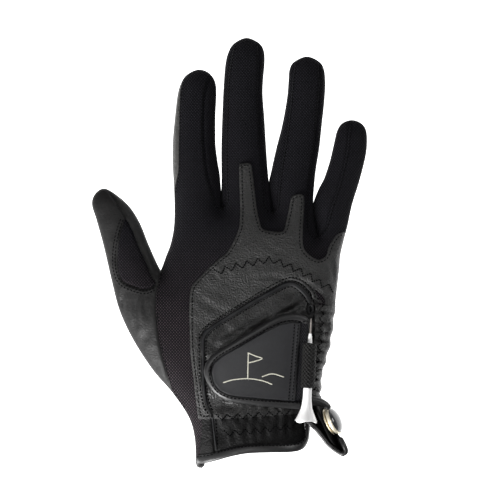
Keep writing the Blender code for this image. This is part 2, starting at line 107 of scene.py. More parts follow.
# Seams between panels that lie side by side.
SEAMS = {
    "index_strip": ((-25.6, 96.5), (-27.2, 88), (-27.8, 76), (-28.1, 60), (-28.3, 46), (-30.9, 32)),
    "index_ulnar": (
        (-10.2, 98.8), (-12.3, 92), (-13.7, 84), (-14.2, 72), (-13.8, 58), (-12, 43), (-8.6, 31.5),
        (-7.2, 27.2), (-4.4, 24.6),
    ),
    "middle_radial": (
        (2.8, 116.4), (0.9, 109), (-1.1, 95), (-1.8, 78), (-2.4, 57), (-2.2, 38), (-1.9, 29), (-4.4, 24.7),
    ),
    "middle_ulnar": (
        (15.8, 116.6), (16.5, 106), (16.2, 86), (17.2, 64), (18.4, 47), (19.8, 33), (20.6, 26),
        (23.3, 22.6),
    ),
    "ring_radial": (
        (35.9, 106.2), (34.4, 96), (33, 80), (30.8, 63), (28.2, 47), (26.6, 33), (26.2, 26.4), (23.3, 22.7),
    ),
    "ring_ulnar": (
        (49.2, 105.9), (50, 93), (48.5, 74), (46.9, 57), (44.4, 41), (43.7, 29), (44.2, 13.5), (47.7, 8.6),
    ),
    "little": ((66, 73.8), (65.3, 66), (63.9, 54), (60.2, 38.5), (55.8, 25), (52.6, 14.6), (47.7, 8.6)),
    "thumb_centre": (
        (-67.8, 35.8), (-61.9, 27.4), (-56.9, 19.5), (-53.1, 12.4), (-49.5, 3.6), (-45.9, -4.1),
        (-43.2, -11.3), (-40.4, -15.6),
    ),
    "thumb_mesh": (
        (-56.9, 19.5), (-59.6, 11.3), (-61.2, 3.6), (-61.7, -4.1), (-61, -10.2), (-58.6, -15.1),
        (-53.1, -17.9), (-46.5, -19.6), (-40.4, -17.2),
    ),
    "stripe": (
        (-37.7, -9.6), (-39.3, -17.3), (-40.4, -25), (-39.9, -36), (-38.2, -49.2), (-35.5, -61.9),
        (-31.6, -75.1), (-24.6, -86.4),
    ),
    "middle_base": ((-4.5, 24.8), (9, 24.4), (23.3, 22.6)),
    "ring_base": ((23.3, 22.6), (35, 17), (47.7, 8.6)),
    "index_base": ((-30, 24.7), (-17, 24.6), (-4.5, 24.8)),
    "little_base": ((47.7, 8.6), (55, 7.6), (62.6, 6.3)),
    "thumb_base": ((-37.9, -10), (-50, -13.5), (-65, -12.4)),
}
# Closed outlines of the leather that is sewn on top of the mesh, and of the panels below the closure slit.
OVERLAY = (
    (5.8, 30), (6, 24.6), (5.6, 16), (4.1, 10.6), (-0.6, 1.6), (-6.6, -3.8), (-16.6, -13.2), (-21, -19.5),
    (-21.8, -30.5), (-21.7, -41.5), (-21.2, -55), (-19.4, -70), (-18, -82), (-17.2, -88), (-16.4, -90.2),
    (-14, -90.6), (-10.4, -90.4), (-9.6, -89), (-11.4, -85.4), (-13.4, -80), (-14.5, -72), (-15, -62),
    (-15.1, -46.2), (-14.2, -43.4), (-11, -40.2), (4, -30.6), (20.5, -20.6), (30, -15.6), (35.4, -14.8),
    (40.4, -17), (44.6, -21.2), (47.4, -26), (62, -28.4), (66, -10), (66, 9.4), (63.2, 11.6), (59.4, 10.6),
    (56.2, 6.6), (54.2, 2.6), (52.6, -1.6), (48.2, -3.4), (42.4, 0.2), (40.2, 4.6), (40, 12), (40.6, 19.6),
    (41, 29.8), (39.4, 32.4), (36, 32.2), (34, 30.6), (32.6, 24.2), (31.2, 17.6), (29.4, 12.4), (24, 12),
    (18.4, 13.4), (16.6, 17), (15, 24.4), (13.9, 34), (12.6, 44), (12, 48.4), (10, 49.6), (6.6, 49.4),
    (5.4, 47.4),
)
OVERLAY_END = (62, -28.4)
OVERLAY_START = (47.4, -26)
UNDER_PANEL = (
    (-17.2, -91), (-17.4, -45), (-12.5, -38.4), (2.8, -28.7), (19.5, -18.6), (30, -13.4), (36.2, -12.6),
    (42, -15.4), (46.6, -20), (48.8, -25.4), (48.6, -44), (47.2, -66), (45.6, -80), (45, -87.6),
    (43, -87.6), (14, -89.4), (-4, -90.6), (-14.8, -91),
)
SHIRRED_SIDE = ((46.8, -25.6), (64, -27.6), (64, -90), (43.4, -86.4), (43.4, -80), (45, -66), (46.4, -44))
CUFF_SPLIT = ((-9.6, -89.8), (-8.8, -100), (-7.8, -116))
# Gaps between the digits, which split the hidden edges of neighbouring panels.
GAPS = (
    ((-4.5, 24.8), (-4.5, 45), (-6, 60), (-6, 101)),
    ((23.3, 22.6), (21.8, 37), (23.5, 50), (27, 80), (30, 107)),
    ((47.7, 8.6), (46.2, 24), (48.2, 34), (54, 60), (58, 74)),
)
EVERYWHERE = ((-99, -199), (99, -199), (99, 199), (-99, 199))
HIDDEN_SEAMS = ("middle_base", "ring_base", "index_base", "little_base", "thumb_base")
PALM_SEAMS = (
    ((-37.9, -10), (-31, -14), (-24, -24), (-19, -38), (-16, -56), (-15.5, -76), (-16, -96), (-16.4, -113)),
    ((-29, 6), (-12, 3), (6, -1), (24, -6), (42, -14), (57, -22)),
)
RING_PRONG = ((26, 19.5), (45, 19.5), (45, 40), (26, 40))

# Knuckles: x, y and the digit's heading in degrees from +Y towards +X.
KNUCKLES = {
    "index": (-17.8, 22.5, 0.7),
    "middle": (8.8, 24.5, 0.2),
    "ring": (32.4, 19.0, 6.9),
    "little": (52.6, 8.0, 12.8),
    "thumb": (-51.5, -14.5, -20.3),
}
RIM_LIFT = 0.3

# Panels of the back: name, kind of surface, body, and the CAD nodes that each stands for.
BACK_PANELS = (
    ("back_knit", "knit", "index", ("back_mesh", "index_back")),
    ("index_strip", "strip", "index", ("index_radial_strip",)),
    ("index_gusset", "knit", "index", ("index_gusset",)),
    ("middle_knit", "knit", "middle", ("middle_back",)),
    ("middle_gusset_radial", "knit", "middle", ("middle_gusset_radial",)),
    ("middle_gusset_ulnar", "knit", "middle", ("middle_gusset_ulnar",)),
    ("ring_knit", "knit", "ring", ("ring_back",)),
    ("ring_gusset_radial", "knit", "ring", ("ring_gusset_radial",)),
    ("ring_gusset_ulnar", "knit", "ring", ("ring_gusset_ulnar",)),
    ("little_knit", "knit", "little", ("little_back",)),
    ("little_gusset", "knit", "little", ("little_gusset",)),
    ("thumb_window", "knit", "thumb", ("thumb_insert",)),
    ("thumb_inner", "leather", "thumb", ("thumb_inner",)),
    ("thumb_leather", "leather", "thumb", ("thumb_outer", "thenar_leather")),
    ("under_panel", "under", "glove", ("closure_under_panel",)),
    ("cuff_side_panel", "cuff", "glove", ("cuff_side_panel",)),
    ("cuff_panel", "cuff", "glove", ("cuff_panel",)),
)

# Rows of stitches beside seams: seam, offsets to its left, body.
SEAM_ROWS = (
    ("index_strip", (0.9,), "index"), ("index_ulnar", (-1.1,), "index"), ("middle_radial", (1.1,), "middle"),
    ("middle_ulnar", (-1.1,), "middle"), ("ring_radial", (1.1,), "ring"), ("ring_ulnar", (-1.1,), "ring"),
    ("little", (1.1,), "little"), ("thumb_mesh", (-1.1, -2.5), "thumb"), ("stripe", (0.9,), "thumb"),
    ("cuff_split", (1.9,), "glove"),
)
KNUCKLE_ROW = (
    (-7.6, -10.6), (2, -7.6), (10.2, -5.8), (21.2, -3.6), (26.7, -4.7), (34.9, -8), (43.7, -12.4),
    (51.4, -17.3), (57, -19.3),
)
CUFF_ROWS = (((-6.9, -89.9), (13, -88.6), (33.3, -87.2)), ((-2.5, -98.7), (16, -96.9), (36, -94.7)))
SHIRRING = ((50.6, -28), (50.2, -44), (48.4, -58), (46.4, -72), (45, -79))
KNUCKLE_PITCH = 6.0
CUFF_PITCH = 5.7
SIDE_PITCH = 5.2
SLIT = (
    (-7.1, -107.5), (-8.2, -98), (-9.3, -89.8), (-11.2, -86), (-13.2, -80.5), (-14.2, -72), (-14.6, -60),
    (-14.6, -52), (-14.3, -46.4), (-11.9, -42.4), (-7.6, -39.2), (4, -32), (14, -26), (24.2, -20.4),
    (30, -17.3), (34.6, -16.6), (38.6, -19), (42.2, -22.8), (44.4, -27),
)
CURL = (44.4, -30.4)
WRIST_BINDING = (
    (-17.2, -113.2), (-13, -112.6), (-8, -111.3), (1.1, -108.7), (10.2, -107.1), (22, -106.7), (33, -106.7),
    (38.9, -105.7), (41.8, -102.8), (42.7, -98), (42.3, -92.6),
)
WRIST_TAIL = ((-16.3, -111.8), (-16.2, -115), (-15.2, -118))
CREASES = (
    (((-49.5, -21), (-51.5, -29), (-51, -40)), 1.6, 0.8),
    (((-45, -21), (-46.5, -27), (-45.5, -35)), 1.3, 0.7),
    (((-57, -17.5), (-59, -26), (-59.5, -36)), 1.5, 0.6),
    (((-42.5, -40), (-47, -48), (-49.5, -53)), 2.4, 0.22),
    (((-36.5, -58), (-41, -62), (-44, -68)), 2.4, 0.2), (((-64, 14), (-62.5, 4), (-64, -6)), 1.3, 0.4),
    (((28, -35), (36, -30), (40, -26.5)), 1.8, 0.9), (((-6, -47), (6, -40), (18, -33)), 1.6, 0.5),
    (((12, -42), (24, -35), (34, -31)), 1.5, 0.6), (((-18, -22), (-12, -28), (-3, -32)), 2.2, 0.35),
    (((10, -14), (22, -12.5), (34, -15)), 1.8, 0.4), (((38, -14), (46, -19), (52, -26)), 2.0, 0.8),
    (((50, -34), (53, -42), (52, -52)), 1.6, 0.8), (((-19, -88), (-17, -98), (-17.5, -106)), 1.0, 0.4),
    (((55, -2), (56.5, -10), (57, -18)), 1.4, 0.6), (((20, 6), (24, 2), (31, 0)), 2.0, 0.35),
)

# The closure tab, drawn flat. It lies on a smooth sheet fitted to the back, TAB_LIFT above it.
TAB_LIFT = 2.2
TAB_EDGE = (
    (42.8, -34.9), (39.5, -33.4), (34, -32.6), (28, -33.5), (22, -36.3), (13.5, -41.3), (-1, -50),
    (-8.4, -54.8), (-12.6, -59.5), (-14, -64.5), (-12.4, -70), (-8.7, -75.6), (-2.4, -79.8), (4, -81.5),
    (13.5, -82.8), (24, -84), (34, -84.9), (38.8, -85),
)
TAB_FACE = (
    (-9.8, -64.8), (-8.4, -60), (-3.9, -55.8), (8, -49.4), (20, -42.5), (27.2, -39), (33.8, -37.5),
    (38.8, -38.2), (37.5, -58), (36, -80.6), (20, -79.6), (6, -78.4), (0.6, -77.7), (-5.4, -75.2),
    (-8.8, -70.4),
)
TAB_FACE_EDGE = (
    (42.6, -38.6), (38.8, -38), (33.8, -37.4), (27.2, -38.9), (20, -42.4), (8, -49.3), (-3.9, -55.7),
    (-8.4, -60), (-9.8, -64.8), (-8.8, -70.4), (-5.4, -75.2), (0.6, -77.7), (6, -78.4), (20, -79.6),
    (39, -80.8),
)
TAB_END_ROWS = (
    ("tab_end_stitches_outer", (37.6, -39.4), (34.5, -79.6)),
    ("tab_end_stitches_inner", (35.6, -39.0), (32.5, -79.4)),
)
TAB_LINING = (
    (-12.4, -65), (-7.6, -56), (13.5, -43), (28, -35.4), (34, -34.4), (41.4, -36), (39.4, -60), (37.4, -83.2),
    (13.5, -81), (-1.8, -78.2), (-7.6, -74.4),
)
HOOK_PATCH = ((-5, -59), (15, -47), (15, -78), (-1, -74))
PILE_PATCH = ((-6, -58), (14, -48), (14, -78), (-1, -75))
WEBBING_STRIP = ((38, -35.6), (43.4, -35.6), (41.8, -60), (39.9, -84), (35.4, -84), (36.8, -60))

# Tee, its loop, and the ball marker on the cuff flap.
TEE_TIP = (44.6, -35.2)
TEE_HEAD = (41.8, -92.1)
TEE_Z = 23.75
TEE_PROFILE = (
    (0, -8.4), (0.75, -8.5), (1.0, -10.5), (1.38, -13.6), (1.85, -20), (2.1, -28), (2.25, -38), (2.4, -44),
    (2.75, -47), (3.2, -49.4), (4.0, -51.6), (4.9, -53.6), (5.65, -55.2), (6.02, -56.2), (6.0, -56.9),
    (5.7, -57.2), (5.2, -57.0), (4.2, -56.2), (2.4, -55.6), (0, -55.3),
)
NEEDLE_PROFILE = ((0, 0), (0.3, -0.5), (0.42, -3), (0.45, -8.6), (0, -8.7))
MARKER_CENTRE = (56.9, -92.1, 10.2)
MARKER_NORMAL = (0.86, 0.42, 0.28)
HOLDER_PROFILE = ((0, 0), (7.3, 0), (7.7, 0.2), (7.7, 0.5), (7.3, 0.7), (5.6, 0.75), (5.6, 1.5), (0, 1.5))
RIM_PROFILE = (
    (0, 0), (7.4, 0), (7.8, 0.25), (7.95, 0.8), (7.95, 1.6), (7.75, 2.0), (7.5, 2.0), (7.4, 1.6),
    (7.4, 1.0), (0, 1.0),
)
DOME_PROFILE = (
    (0, 0), (7.2, 0), (7.3, 0.5), (7.1, 1.1), (6.5, 1.8), (5.6, 2.4), (4.4, 2.95), (3.0, 3.35), (1.5, 3.6),
    (0, 3.7),
)
FLAP_PLATE = (
    (-13, -5), (-10, -7.2), (2, -7.8), (10, -7.2), (17, -4.5), (20, -1.5), (20, 1.5), (16, 4.5), (8, 7),
    (-2, 7.8), (-10, 7.2), (-13, 4),
)
FLAP_OUTLINE = (
    (42.4, -82), (46.5, -79.6), (51.5, -80.8), (55.2, -84), (54.4, -88), (56.6, -94.5), (60.2, -100.2),
    (62.8, -104.6), (64, -108.2), (62.6, -109.8), (58.3, -107.8), (54.4, -104.6), (48.3, -97),
    (43.4, -92.4), (41.4, -88),
)
FLAP_EDGE = (
    (42.2, -91.4), (44.6, -93.6), (48.1, -97), (51.2, -100.8), (54.2, -104.6), (58.3, -107.9), (62, -109.8),
    (63.9, -108.4), (62.6, -104.6), (60.8, -100.6),
)
FLAP_STITCHES = ((47, -92.2), (48.4, -93.2), (55.3, -99.8), (61.4, -106.2))
FLAP_LIP = ((44.6, -80.6), (48.2, -81.2), (51.2, -82.2), (53.6, -83.8), (54.6, -85.6))

LAMPS = (
    ("key", (-0.72, -0.92, 0.52), 0.4, 33), ("fill", (0.9, 0.5, 0.8), 0.5, 5),
    ("top", (-0.3, -0.1, 1.9), 0.4, 7),
)
VIEW_CENTRE = (11.3, 1.9)
VIEW_HEIGHT = 1600.0
VIEW_WIDTH = 275.0


def along_curve(points, step, closed=False):
    """Evenly spaced points on a smooth curve through the given ones."""
    given = np.array(points, float)
    if closed:
        padded = np.vstack([given[-1], given, given[:2]])
    else:
        padded = np.vstack([2 * given[0] - given[1], given, 2 * given[-1] - given[-2]])
    t = np.linspace(0, 1, 12, endpoint=False)[:, None]
    dense = [
        0.5 * (2 * b + (c - a) * t + (2 * a - 5 * b + 4 * c - d) * t**2 + (3 * b - a - 3 * c + d) * t**3)
        for a, b, c, d in zip(padded, padded[1:], padded[2:], padded[3:])
    ]
    dense = np.vstack([*dense, given[:1] if closed else given[-1:]])
    return respaced(dense, step)


def respaced(line, step):
    gone = np.concatenate([[0], np.cumsum(np.linalg.norm(np.diff(line, axis=0), axis=1))])
    at = np.linspace(0, gone[-1], max(2, round(gone[-1] / step) + 1))
    return np.stack([np.interp(at, gone, line[:, k]) for k in range(line.shape[1])], axis=1)


def sideways(line):
    """Unit normals of a flat line, to its left."""
    run = np.gradient(line, axis=0)
    run /= np.linalg.norm(run, axis=1, keepdims=True) + 1e-9
    return np.stack([-run[:, 1], run[:, 0]], axis=1)


def inside(points, outline):
    """Which points lie inside a closed flat outline."""
    x, y = points[:, 0], points[:, 1]
    found = np.zeros(len(points), bool)
    for (ax, ay), (bx, by) in zip(outline, np.roll(outline, -1, axis=0)):
        if ay != by:
            spans = (ay > y) != (by > y)
            found ^= spans & (x < (bx - ax) * (y - ay) / (by - ay) + ax)
    return found


def tree_of(points):
    tree = KDTree(len(points))
    for i, p in enumerate(points):
        tree.insert((p[0], p[1], 0), i)
    tree.balance()
    return tree


def distance_to(points, samples):
    """Distance from each flat point to the nearest sample."""
    if not len(samples):
        return np.full(len(points), 99.0)
    tree = tree_of(samples)
    return np.array([tree.find((p[0], p[1], 0))[2] for p in points])


def silhouette():
    """The closed outline of the glove, sharp at the crotches, and its open edge at the wrist."""
    stretches = (
        [*THENAR_EDGE, THUMB_CROTCH],
        [THUMB_CROTCH, *INDEX_EDGE, CROTCH_1],
        [CROTCH_1, *MIDDLE_EDGE, CROTCH_2],
        [CROTCH_2, *RING_EDGE, CROTCH_3],
        [CROTCH_3, *LITTLE_EDGE, *HEEL_EDGE],
    )
    held = np.vstack([along_curve(stretch, 0.9)[:-1] for stretch in stretches])
    wrist = along_curve([HEEL_EDGE[-1], *WRIST_EDGE, THENAR_EDGE[0]], 0.9)[:-1]
    return held, wrist


def thinned(points, cell):
    _, first = np.unique(np.round(points / cell).astype(int), axis=0, return_index=True)
    return points[np.sort(first)]


def triangulate(outline, lines, rows, coarse):
    """Triangles that fill an outline, with an edge along every line and extra rows of points beside each."""
    cuts = np.vstack([outline, *lines]) if lines else outline
    cut_tree = tree_of(cuts)
    beside = [outline + sideways(outline) * side * away for away in rows for side in (-1, 1)]
    for line in lines:
        beside += [line + sideways(line) * side * away for away in (0.5, 1.1) for side in (-1, 1)]
    low, high = outline.min(axis=0), outline.max(axis=0)
    across = np.arange(low[0], high[0], coarse)
    up = np.arange(low[1], high[1], coarse * 0.866)
    grid = np.array([(x + (j % 2) * coarse / 2, y) for j, y in enumerate(up) for x in across])
    clear = np.array([cut_tree.find((p[0], p[1], 0))[2] for p in grid])
    grid = grid[clear > 1.6]
    extra = np.vstack(beside)
    clear = np.array([cut_tree.find((p[0], p[1], 0))[2] for p in extra])
    extra = thinned(extra[clear > 0.14], 0.5)
    free = np.vstack([grid, extra])
    free = free[inside(free, outline)]
    points = [Vector(p) for p in free]
    edges = []
    for line, loops in [(outline, True)] + [(line, False) for line in lines]:
        first = len(points)
        points += [Vector(p) for p in line]
        edges += [(first + i, first + i + 1) for i in range(len(line) - 1)]
        if loops:
            edges.append((len(points) - 1, first))
    found = delaunay_2d_cdt(points, edges, [], 0, 1e-4)
    flat = np.array([tuple(p) for p in found[0]])
    faces = np.array([face for face in found[2] if len(face) == 3])
    faces = faces[inside(flat[faces].mean(axis=1), outline)]
    a, b, c = (flat[faces[:, k]] for k in range(3))
    area = (b[:, 0] - a[:, 0]) * (c[:, 1] - a[:, 1]) - (b[:, 1] - a[:, 1]) * (c[:, 0] - a[:, 0])
    faces[area < 0] = faces[area < 0][:, ::-1]
    faces = faces[np.abs(area) > 1e-5]
    used, faces = np.unique(faces, return_inverse=True)
    return flat[used], faces.reshape(-1, 3)


def inflated(flat, faces, held):
    """Height of a screened membrane that is blown up from zero at its held points."""
    weights, mass = [], np.zeros(len(flat))
    for k in range(3):
        i, j, o = faces[:, k], faces[:, (k + 1) % 3], faces[:, (k + 2) % 3]
        a, b = flat[i] - flat[o], flat[j] - flat[o]
        area = np.abs(a[:, 0] * b[:, 1] - a[:, 1] * b[:, 0])
        weights.append((i, j, np.clip((a * b).sum(axis=1) / (area + 1e-9) / 2, 0.01, 20)))
        mass += np.bincount(i, area / 6, len(flat))
    i, j, w = (np.concatenate(part) for part in zip(*weights))
    diagonal = np.bincount(i, w, len(flat)) + np.bincount(j, w, len(flat)) + mass / MEMBRANE**2
    free = ~held

    def apply(u):
        return (diagonal * u - np.bincount(i, w * u[j], len(u)) - np.bincount(j, w * u[i], len(u))) * free

    u = np.zeros(len(flat))
    rest = mass * free
    scaled = rest / diagonal
    search, strength = scaled.copy(), rest @ scaled
    for _ in range(600):
        pushed = apply(search)
        step = strength / (search @ pushed)
        u += step * search
        rest = rest - step * pushed
        scaled = rest / diagonal
        found = rest @ scaled
        if found < 1e-9 * len(u):
            break
        search = scaled + search * found / strength
        strength = found
    return np.maximum(u, 0)


def vertex_normals(points, faces):
    a, b, c = (points[faces[:, k]] for k in range(3))
    normal = np.cross(b - a, c - a)
    total = np.zeros_like(points)
    for k in range(3):
        for axis in range(3):
            total[:, axis] += np.bincount(faces[:, k], normal[:, axis], len(points))
    return total / (np.linalg.norm(total, axis=1, keepdims=True) + 1e-12)


def smooth_noise(points, scale, seed):
    """Perlin noise at flat points, about -1 to 1, with features of the given size along each axis."""
    return np.array([noise.noise((x, y, seed)) for x, y in points / np.array(scale, float) + seed])


def bell(distance, width):
    return np.exp(-((distance / width) ** 2))


class Skin:
    """The inflated surface: flat points, triangles, and the height of its back and palm sides."""

    def __init__(self):
        held, wrist = silhouette()
        self.outline = np.vstack([held, wrist])
        self.lines = {name: along_curve(points, SEAM_STEP) for name, points in SEAMS.items()}
        self.lines["cuff_split"] = along_curve(CUFF_SPLIT, SEAM_STEP)
        self.lines["overlay"] = along_curve(OVERLAY, SEAM_STEP, closed=True)
        closed = {"under": UNDER_PANEL, "side": SHIRRED_SIDE}
        for name, points in closed.items():
            self.lines[name] = respaced(np.array([*points, points[0]], float), SEAM_STEP)
        cuts = list(self.lines.values())
        self.flat, self.faces = triangulate(self.outline, cuts, (0.18, 0.6, 1.3, 2.2), COARSE)
        self.rim = distance_to(self.flat, held) < 0.02
        finger = math.sqrt(MEMBRANE**2 * (1 - 1 / math.cosh(FINGER_HALF_WIDTH / MEMBRANE)))
        self.puff = np.sqrt(inflated(self.flat, self.faces, self.rim)) / finger
        self.centres = self.flat[self.faces].mean(axis=1)

    def side(self, palm):
        """Points and outward normals of the back or the palm side."""
        if palm:
            z = EQUATOR_Z - PALM_DEPTH * np.tanh(1.4 * self.puff)
        else:
            z = EQUATOR_Z + FINGER_RISE * self.puff * (0.88 + 0.12 * self.puff**2)
        points = np.column_stack([self.flat, z])
        faces = self.faces[:, ::-1] if palm else self.faces
        normals = vertex_normals(points, faces)
        normals[self.rim, 2] = 0
        normals /= np.linalg.norm(normals, axis=1, keepdims=True) + 1e-9
        return points, normals, faces


def cloth_map(points, normals):
    """Flat cloth coordinates, which unroll the sides of each finger."""
    n = np.clip(normals, -0.98, 0.98)
    return points[:, :2] + WRAP_RADIUS * (np.arcsin(n[:, :2]) - n[:, :2])


def new_piece(name, points, faces, look, uv=None, sharp=50):
    """Mesh piece from points in millimetres."""
    mesh = bpy.data.meshes.new(name)
    mesh.from_pydata((np.asarray(points) * MM).tolist(), [], [tuple(map(int, f)) for f in faces])
    if uv is not None:
        layer = mesh.uv_layers.new(name="Cloth")
        corner = np.zeros(len(mesh.loops), int)
        mesh.loops.foreach_get("vertex_index", corner)
        layer.data.foreach_set("uv", uv[corner].astype(np.float32).ravel())
    mesh.shade_smooth()
    mesh.set_sharp_from_angle(angle=math.radians(sharp))
    mesh.materials.append(look)
    obj = bpy.data.objects.new(name, mesh)
    bpy.context.scene.collection.objects.link(obj)
    return obj


def thick_sheet(name, outer, normals, faces, look, thickness=SHEET, uv=None):
    """Closed sheet: an outer surface, an inner one below it, and a rim that joins them."""
    used, local = np.unique(faces, return_inverse=True)
    local = local.reshape(-1, 3)
    top, lean = outer[used], normals[used]
    bottom = top - lean * thickness
    count = len(used)
    runs = np.concatenate([local[:, [0, 1]], local[:, [1, 2]], local[:, [2, 0]]])
    key = runs[:, 0] * count + runs[:, 1]
    back = runs[:, 1] * count + runs[:, 0]
    rim = runs[~np.isin(key, back)]
    walls = [(a, a + count, b + count, b) for a, b in rim]
    shell = [*local.tolist(), *(local[:, ::-1] + count).tolist(), *walls]
    cloth = np.vstack([uv[used], uv[used]]) if uv is not None else None
    return new_piece(name, np.vstack([top, bottom]), shell, look, cloth)


def attach(piece, body, nodes=()):
    """Makes a piece move with a body, and hides the CAD nodes that it stands for.

    A piece of a digit, or of the tab's edge (tab_edge), only has its placement baked into its mesh.
    """
    if body in KNUCKLES:
        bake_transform(piece)
    elif body == "tab_edge":
        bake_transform(piece)
    else:
        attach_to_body(piece, body)
    if nodes:
        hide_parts(*nodes)
    return piece


def material(name):
    """New node material and its Principled shader."""
    made = bpy.data.materials.new(name)
    made.use_nodes = True
    return made, made.node_tree, made.node_tree.nodes["Principled BSDF"]


def math_node(tree, operation, *values):
    node = tree.nodes.new("ShaderNodeMath")
    node.operation = operation
    for socket, value in zip(node.inputs, values):
        if isinstance(value, (int, float)):
            socket.default_value = value
        else:
            tree.links.new(value, socket)
    return node.outputs[0]


def times(tree, a, b):
    return math_node(tree, "MULTIPLY", a, b)


def times_plus(tree, a, b, c):
    return math_node(tree, "MULTIPLY_ADD", a, b, c)


def settle(node, values):
    """Sets a node's sockets by name."""
    for socket, value in values.items():
        node.inputs[socket].default_value = value


def colour_by(tree, shader, value, low, high):
    """Base colour from a ramp between two (place, colour) stops."""
    tree.links.new(ramp(tree, value, (low, high)), shader.inputs["Base Color"])


def tinted(colour, factor):
    return tuple(min(1, c * factor) for c in colour)


def ramp(tree, value, stops):
    node = tree.nodes.new("ShaderNodeValToRGB")
    tree.links.new(value, node.inputs[0])
    for element, (place, colour) in zip(node.color_ramp.elements, stops):
        element.position = place
        element.color = (*colour, 1)
    return node.outputs[0]


def object_place(tree, stretch=(1, 1, 1)):
    place = tree.nodes.new("ShaderNodeTexCoord").outputs["Object"]
    mapping = tree.nodes.new("ShaderNodeMapping")
    mapping.inputs["Scale"].default_value = stretch
    tree.links.new(place, mapping.inputs["Vector"])
    return mapping.outputs[0]


def object_noise(tree, scale, detail=3.0, roughness=0.5, stretch=(1, 1, 1)):
    """Noise in the row frame, with features of about 1/scale metres."""
    node = tree.nodes.new("ShaderNodeTexNoise")
    settle(node, {"Scale": scale, "Detail": detail, "Roughness": roughness})
    tree.links.new(object_place(tree, stretch), node.inputs["Vector"])
    return node.outputs[0]


def pebbles(tree, scale):
    node = tree.nodes.new("ShaderNodeTexVoronoi")
    node.feature = "SMOOTH_F1"
    node.inputs["Scale"].default_value = scale
    tree.links.new(object_place(tree), node.inputs["Vector"])
    return node.outputs["Distance"]


def bump(tree, shader, height, strength, depth):
    node = tree.nodes.new("ShaderNodeBump")
    settle(node, {"Strength": strength, "Distance": depth * MM})
    tree.links.new(height, node.inputs["Height"])
    tree.links.new(node.outputs[0], shader.inputs["Normal"])


def leather(name, colour, roughness=0.48, grain=0.34, gloss=0.5):
    """Fine-grained leather: small pebbles, faint creases and uneven colour."""
    made, tree, shader = material(name)
    crease = object_noise(tree, 620, 5, 0.65, (1, 1.7, 1))
    cloudy = times_plus(tree, crease, 0.5, times(tree, object_noise(tree, 110, 5), 0.5))
    colour_by(tree, shader, cloudy, (0.36, tinted(colour, 0.7)), (0.64, tinted(colour, 1.35)))
    height = times_plus(tree, crease, 1.2, times(tree, pebbles(tree, 1250), 0.8))
    bump(tree, shader, height, 0.8, grain)
    worn = ramp(tree, crease, ((0.25, (roughness + 0.1,) * 3), (0.75, (roughness - 0.08,) * 3)))
    tree.links.new(worn, shader.inputs["Roughness"])
    shader.inputs["Specular IOR Level"].default_value = gloss
    return made


def cloth_axes(tree):
    """The two cloth coordinates, in millimetres."""
    cloth = tree.nodes.new("ShaderNodeUVMap")
    cloth.uv_map = "Cloth"
    split = tree.nodes.new("ShaderNodeSeparateXYZ")
    tree.links.new(cloth.outputs[0], split.inputs[0])
    return split.outputs[0], split.outputs[1]


def wave(tree, value, pitch):
    return math_node(tree, "COSINE", times(tree, value, 2 * math.pi / pitch))


def knit(name, ground, dot, wrist_highlight_dot, pitch=1.6):
    """Knit with a small raised dot at each crossing of a lattice; the dots carry a painted highlight, lighter
    and pinker towards the wrist.
    """
    made, tree, shader = material(name)
    u, v = cloth_axes(tree)
    lattice = times(tree, wave(tree, u, pitch), wave(tree, v, 1.12 * pitch))
    dots = math_node(tree, "MAXIMUM", lattice, 0.0)
    uneven = times(tree, dots, times_plus(tree, object_noise(tree, 150, 3), 0.8, 0.6))
    place = tree.nodes.new("ShaderNodeSeparateXYZ")
    tree.links.new(object_place(tree), place.inputs[0])
    # Painted highlight: the dots turn lighter and pinker towards the wrist, fully so from y = -37.5 mm down.
    highlight_fade = times_plus(tree, place.outputs[1], 1 / 0.05, 0.75)
    highlit_dot = ramp(tree, highlight_fade, ((0.0, wrist_highlight_dot), (1.0, dot)))
    mix = tree.nodes.new("ShaderNodeMix")
    mix.data_type = "RGBA"
    tree.links.new(ramp(tree, uneven, ((0.24, (0, 0, 0)), (0.66, (1, 1, 1)))), mix.inputs[0])
    mix.inputs[6].default_value = (*ground, 1)
    tree.links.new(highlit_dot, mix.inputs[7])
    tree.links.new(mix.outputs[2], shader.inputs["Base Color"])
    bump(tree, shader, times_plus(tree, object_noise(tree, 3200, 2), 0.4, dots), 0.9, 0.35)
    settle(shader, {"Roughness": 0.7, "Specular IOR Level": 0.1})
    settle(shader, {"Sheen Weight": 0.03, "Sheen Roughness": 0.4})
    return made


def ribbed(name, colour, along, across, depth=0.3):
    """Woven band with crossing ribs of the given pitches."""
    made, tree, shader = material(name)
    u, v = cloth_axes(tree)
    rows = wave(tree, v, 2 * across)
    bent = times_plus(tree, rows, 0.3 * along, u)
    ribs = times(tree, wave(tree, bent, along), math_node(tree, "ABSOLUTE", rows))
    bump(tree, shader, times_plus(tree, object_noise(tree, 3000, 2), 0.3, ribs), 0.9, depth)
    shade = times_plus(tree, ribs, 0.5, 0.5)
    colour_by(tree, shader, shade, (0.2, tinted(colour, 0.25)), (0.95, tinted(colour, 2.4)))
    settle(shader, {"Roughness": 0.75, "Specular IOR Level": 0.25})
    return made


def plain(name, colour, roughness, metallic=0.0, scale=500, variation=0.12, relief=0.04, coat=0.0, gloss=0.5):
    """Smooth finish with a slight unevenness."""
    made, tree, shader = material(name)
    dark, light = tinted(colour, 1 - variation), tinted(colour, 1 + variation)
    colour_by(tree, shader, object_noise(tree, scale, 4), (0.3, dark), (0.7, light))
    bump(tree, shader, object_noise(tree, 1800, 3), 0.5, relief)
    settle(shader, {"Roughness": roughness, "Metallic": metallic})
    settle(shader, {"Specular IOR Level": gloss, "Coat Weight": coat})
    return made


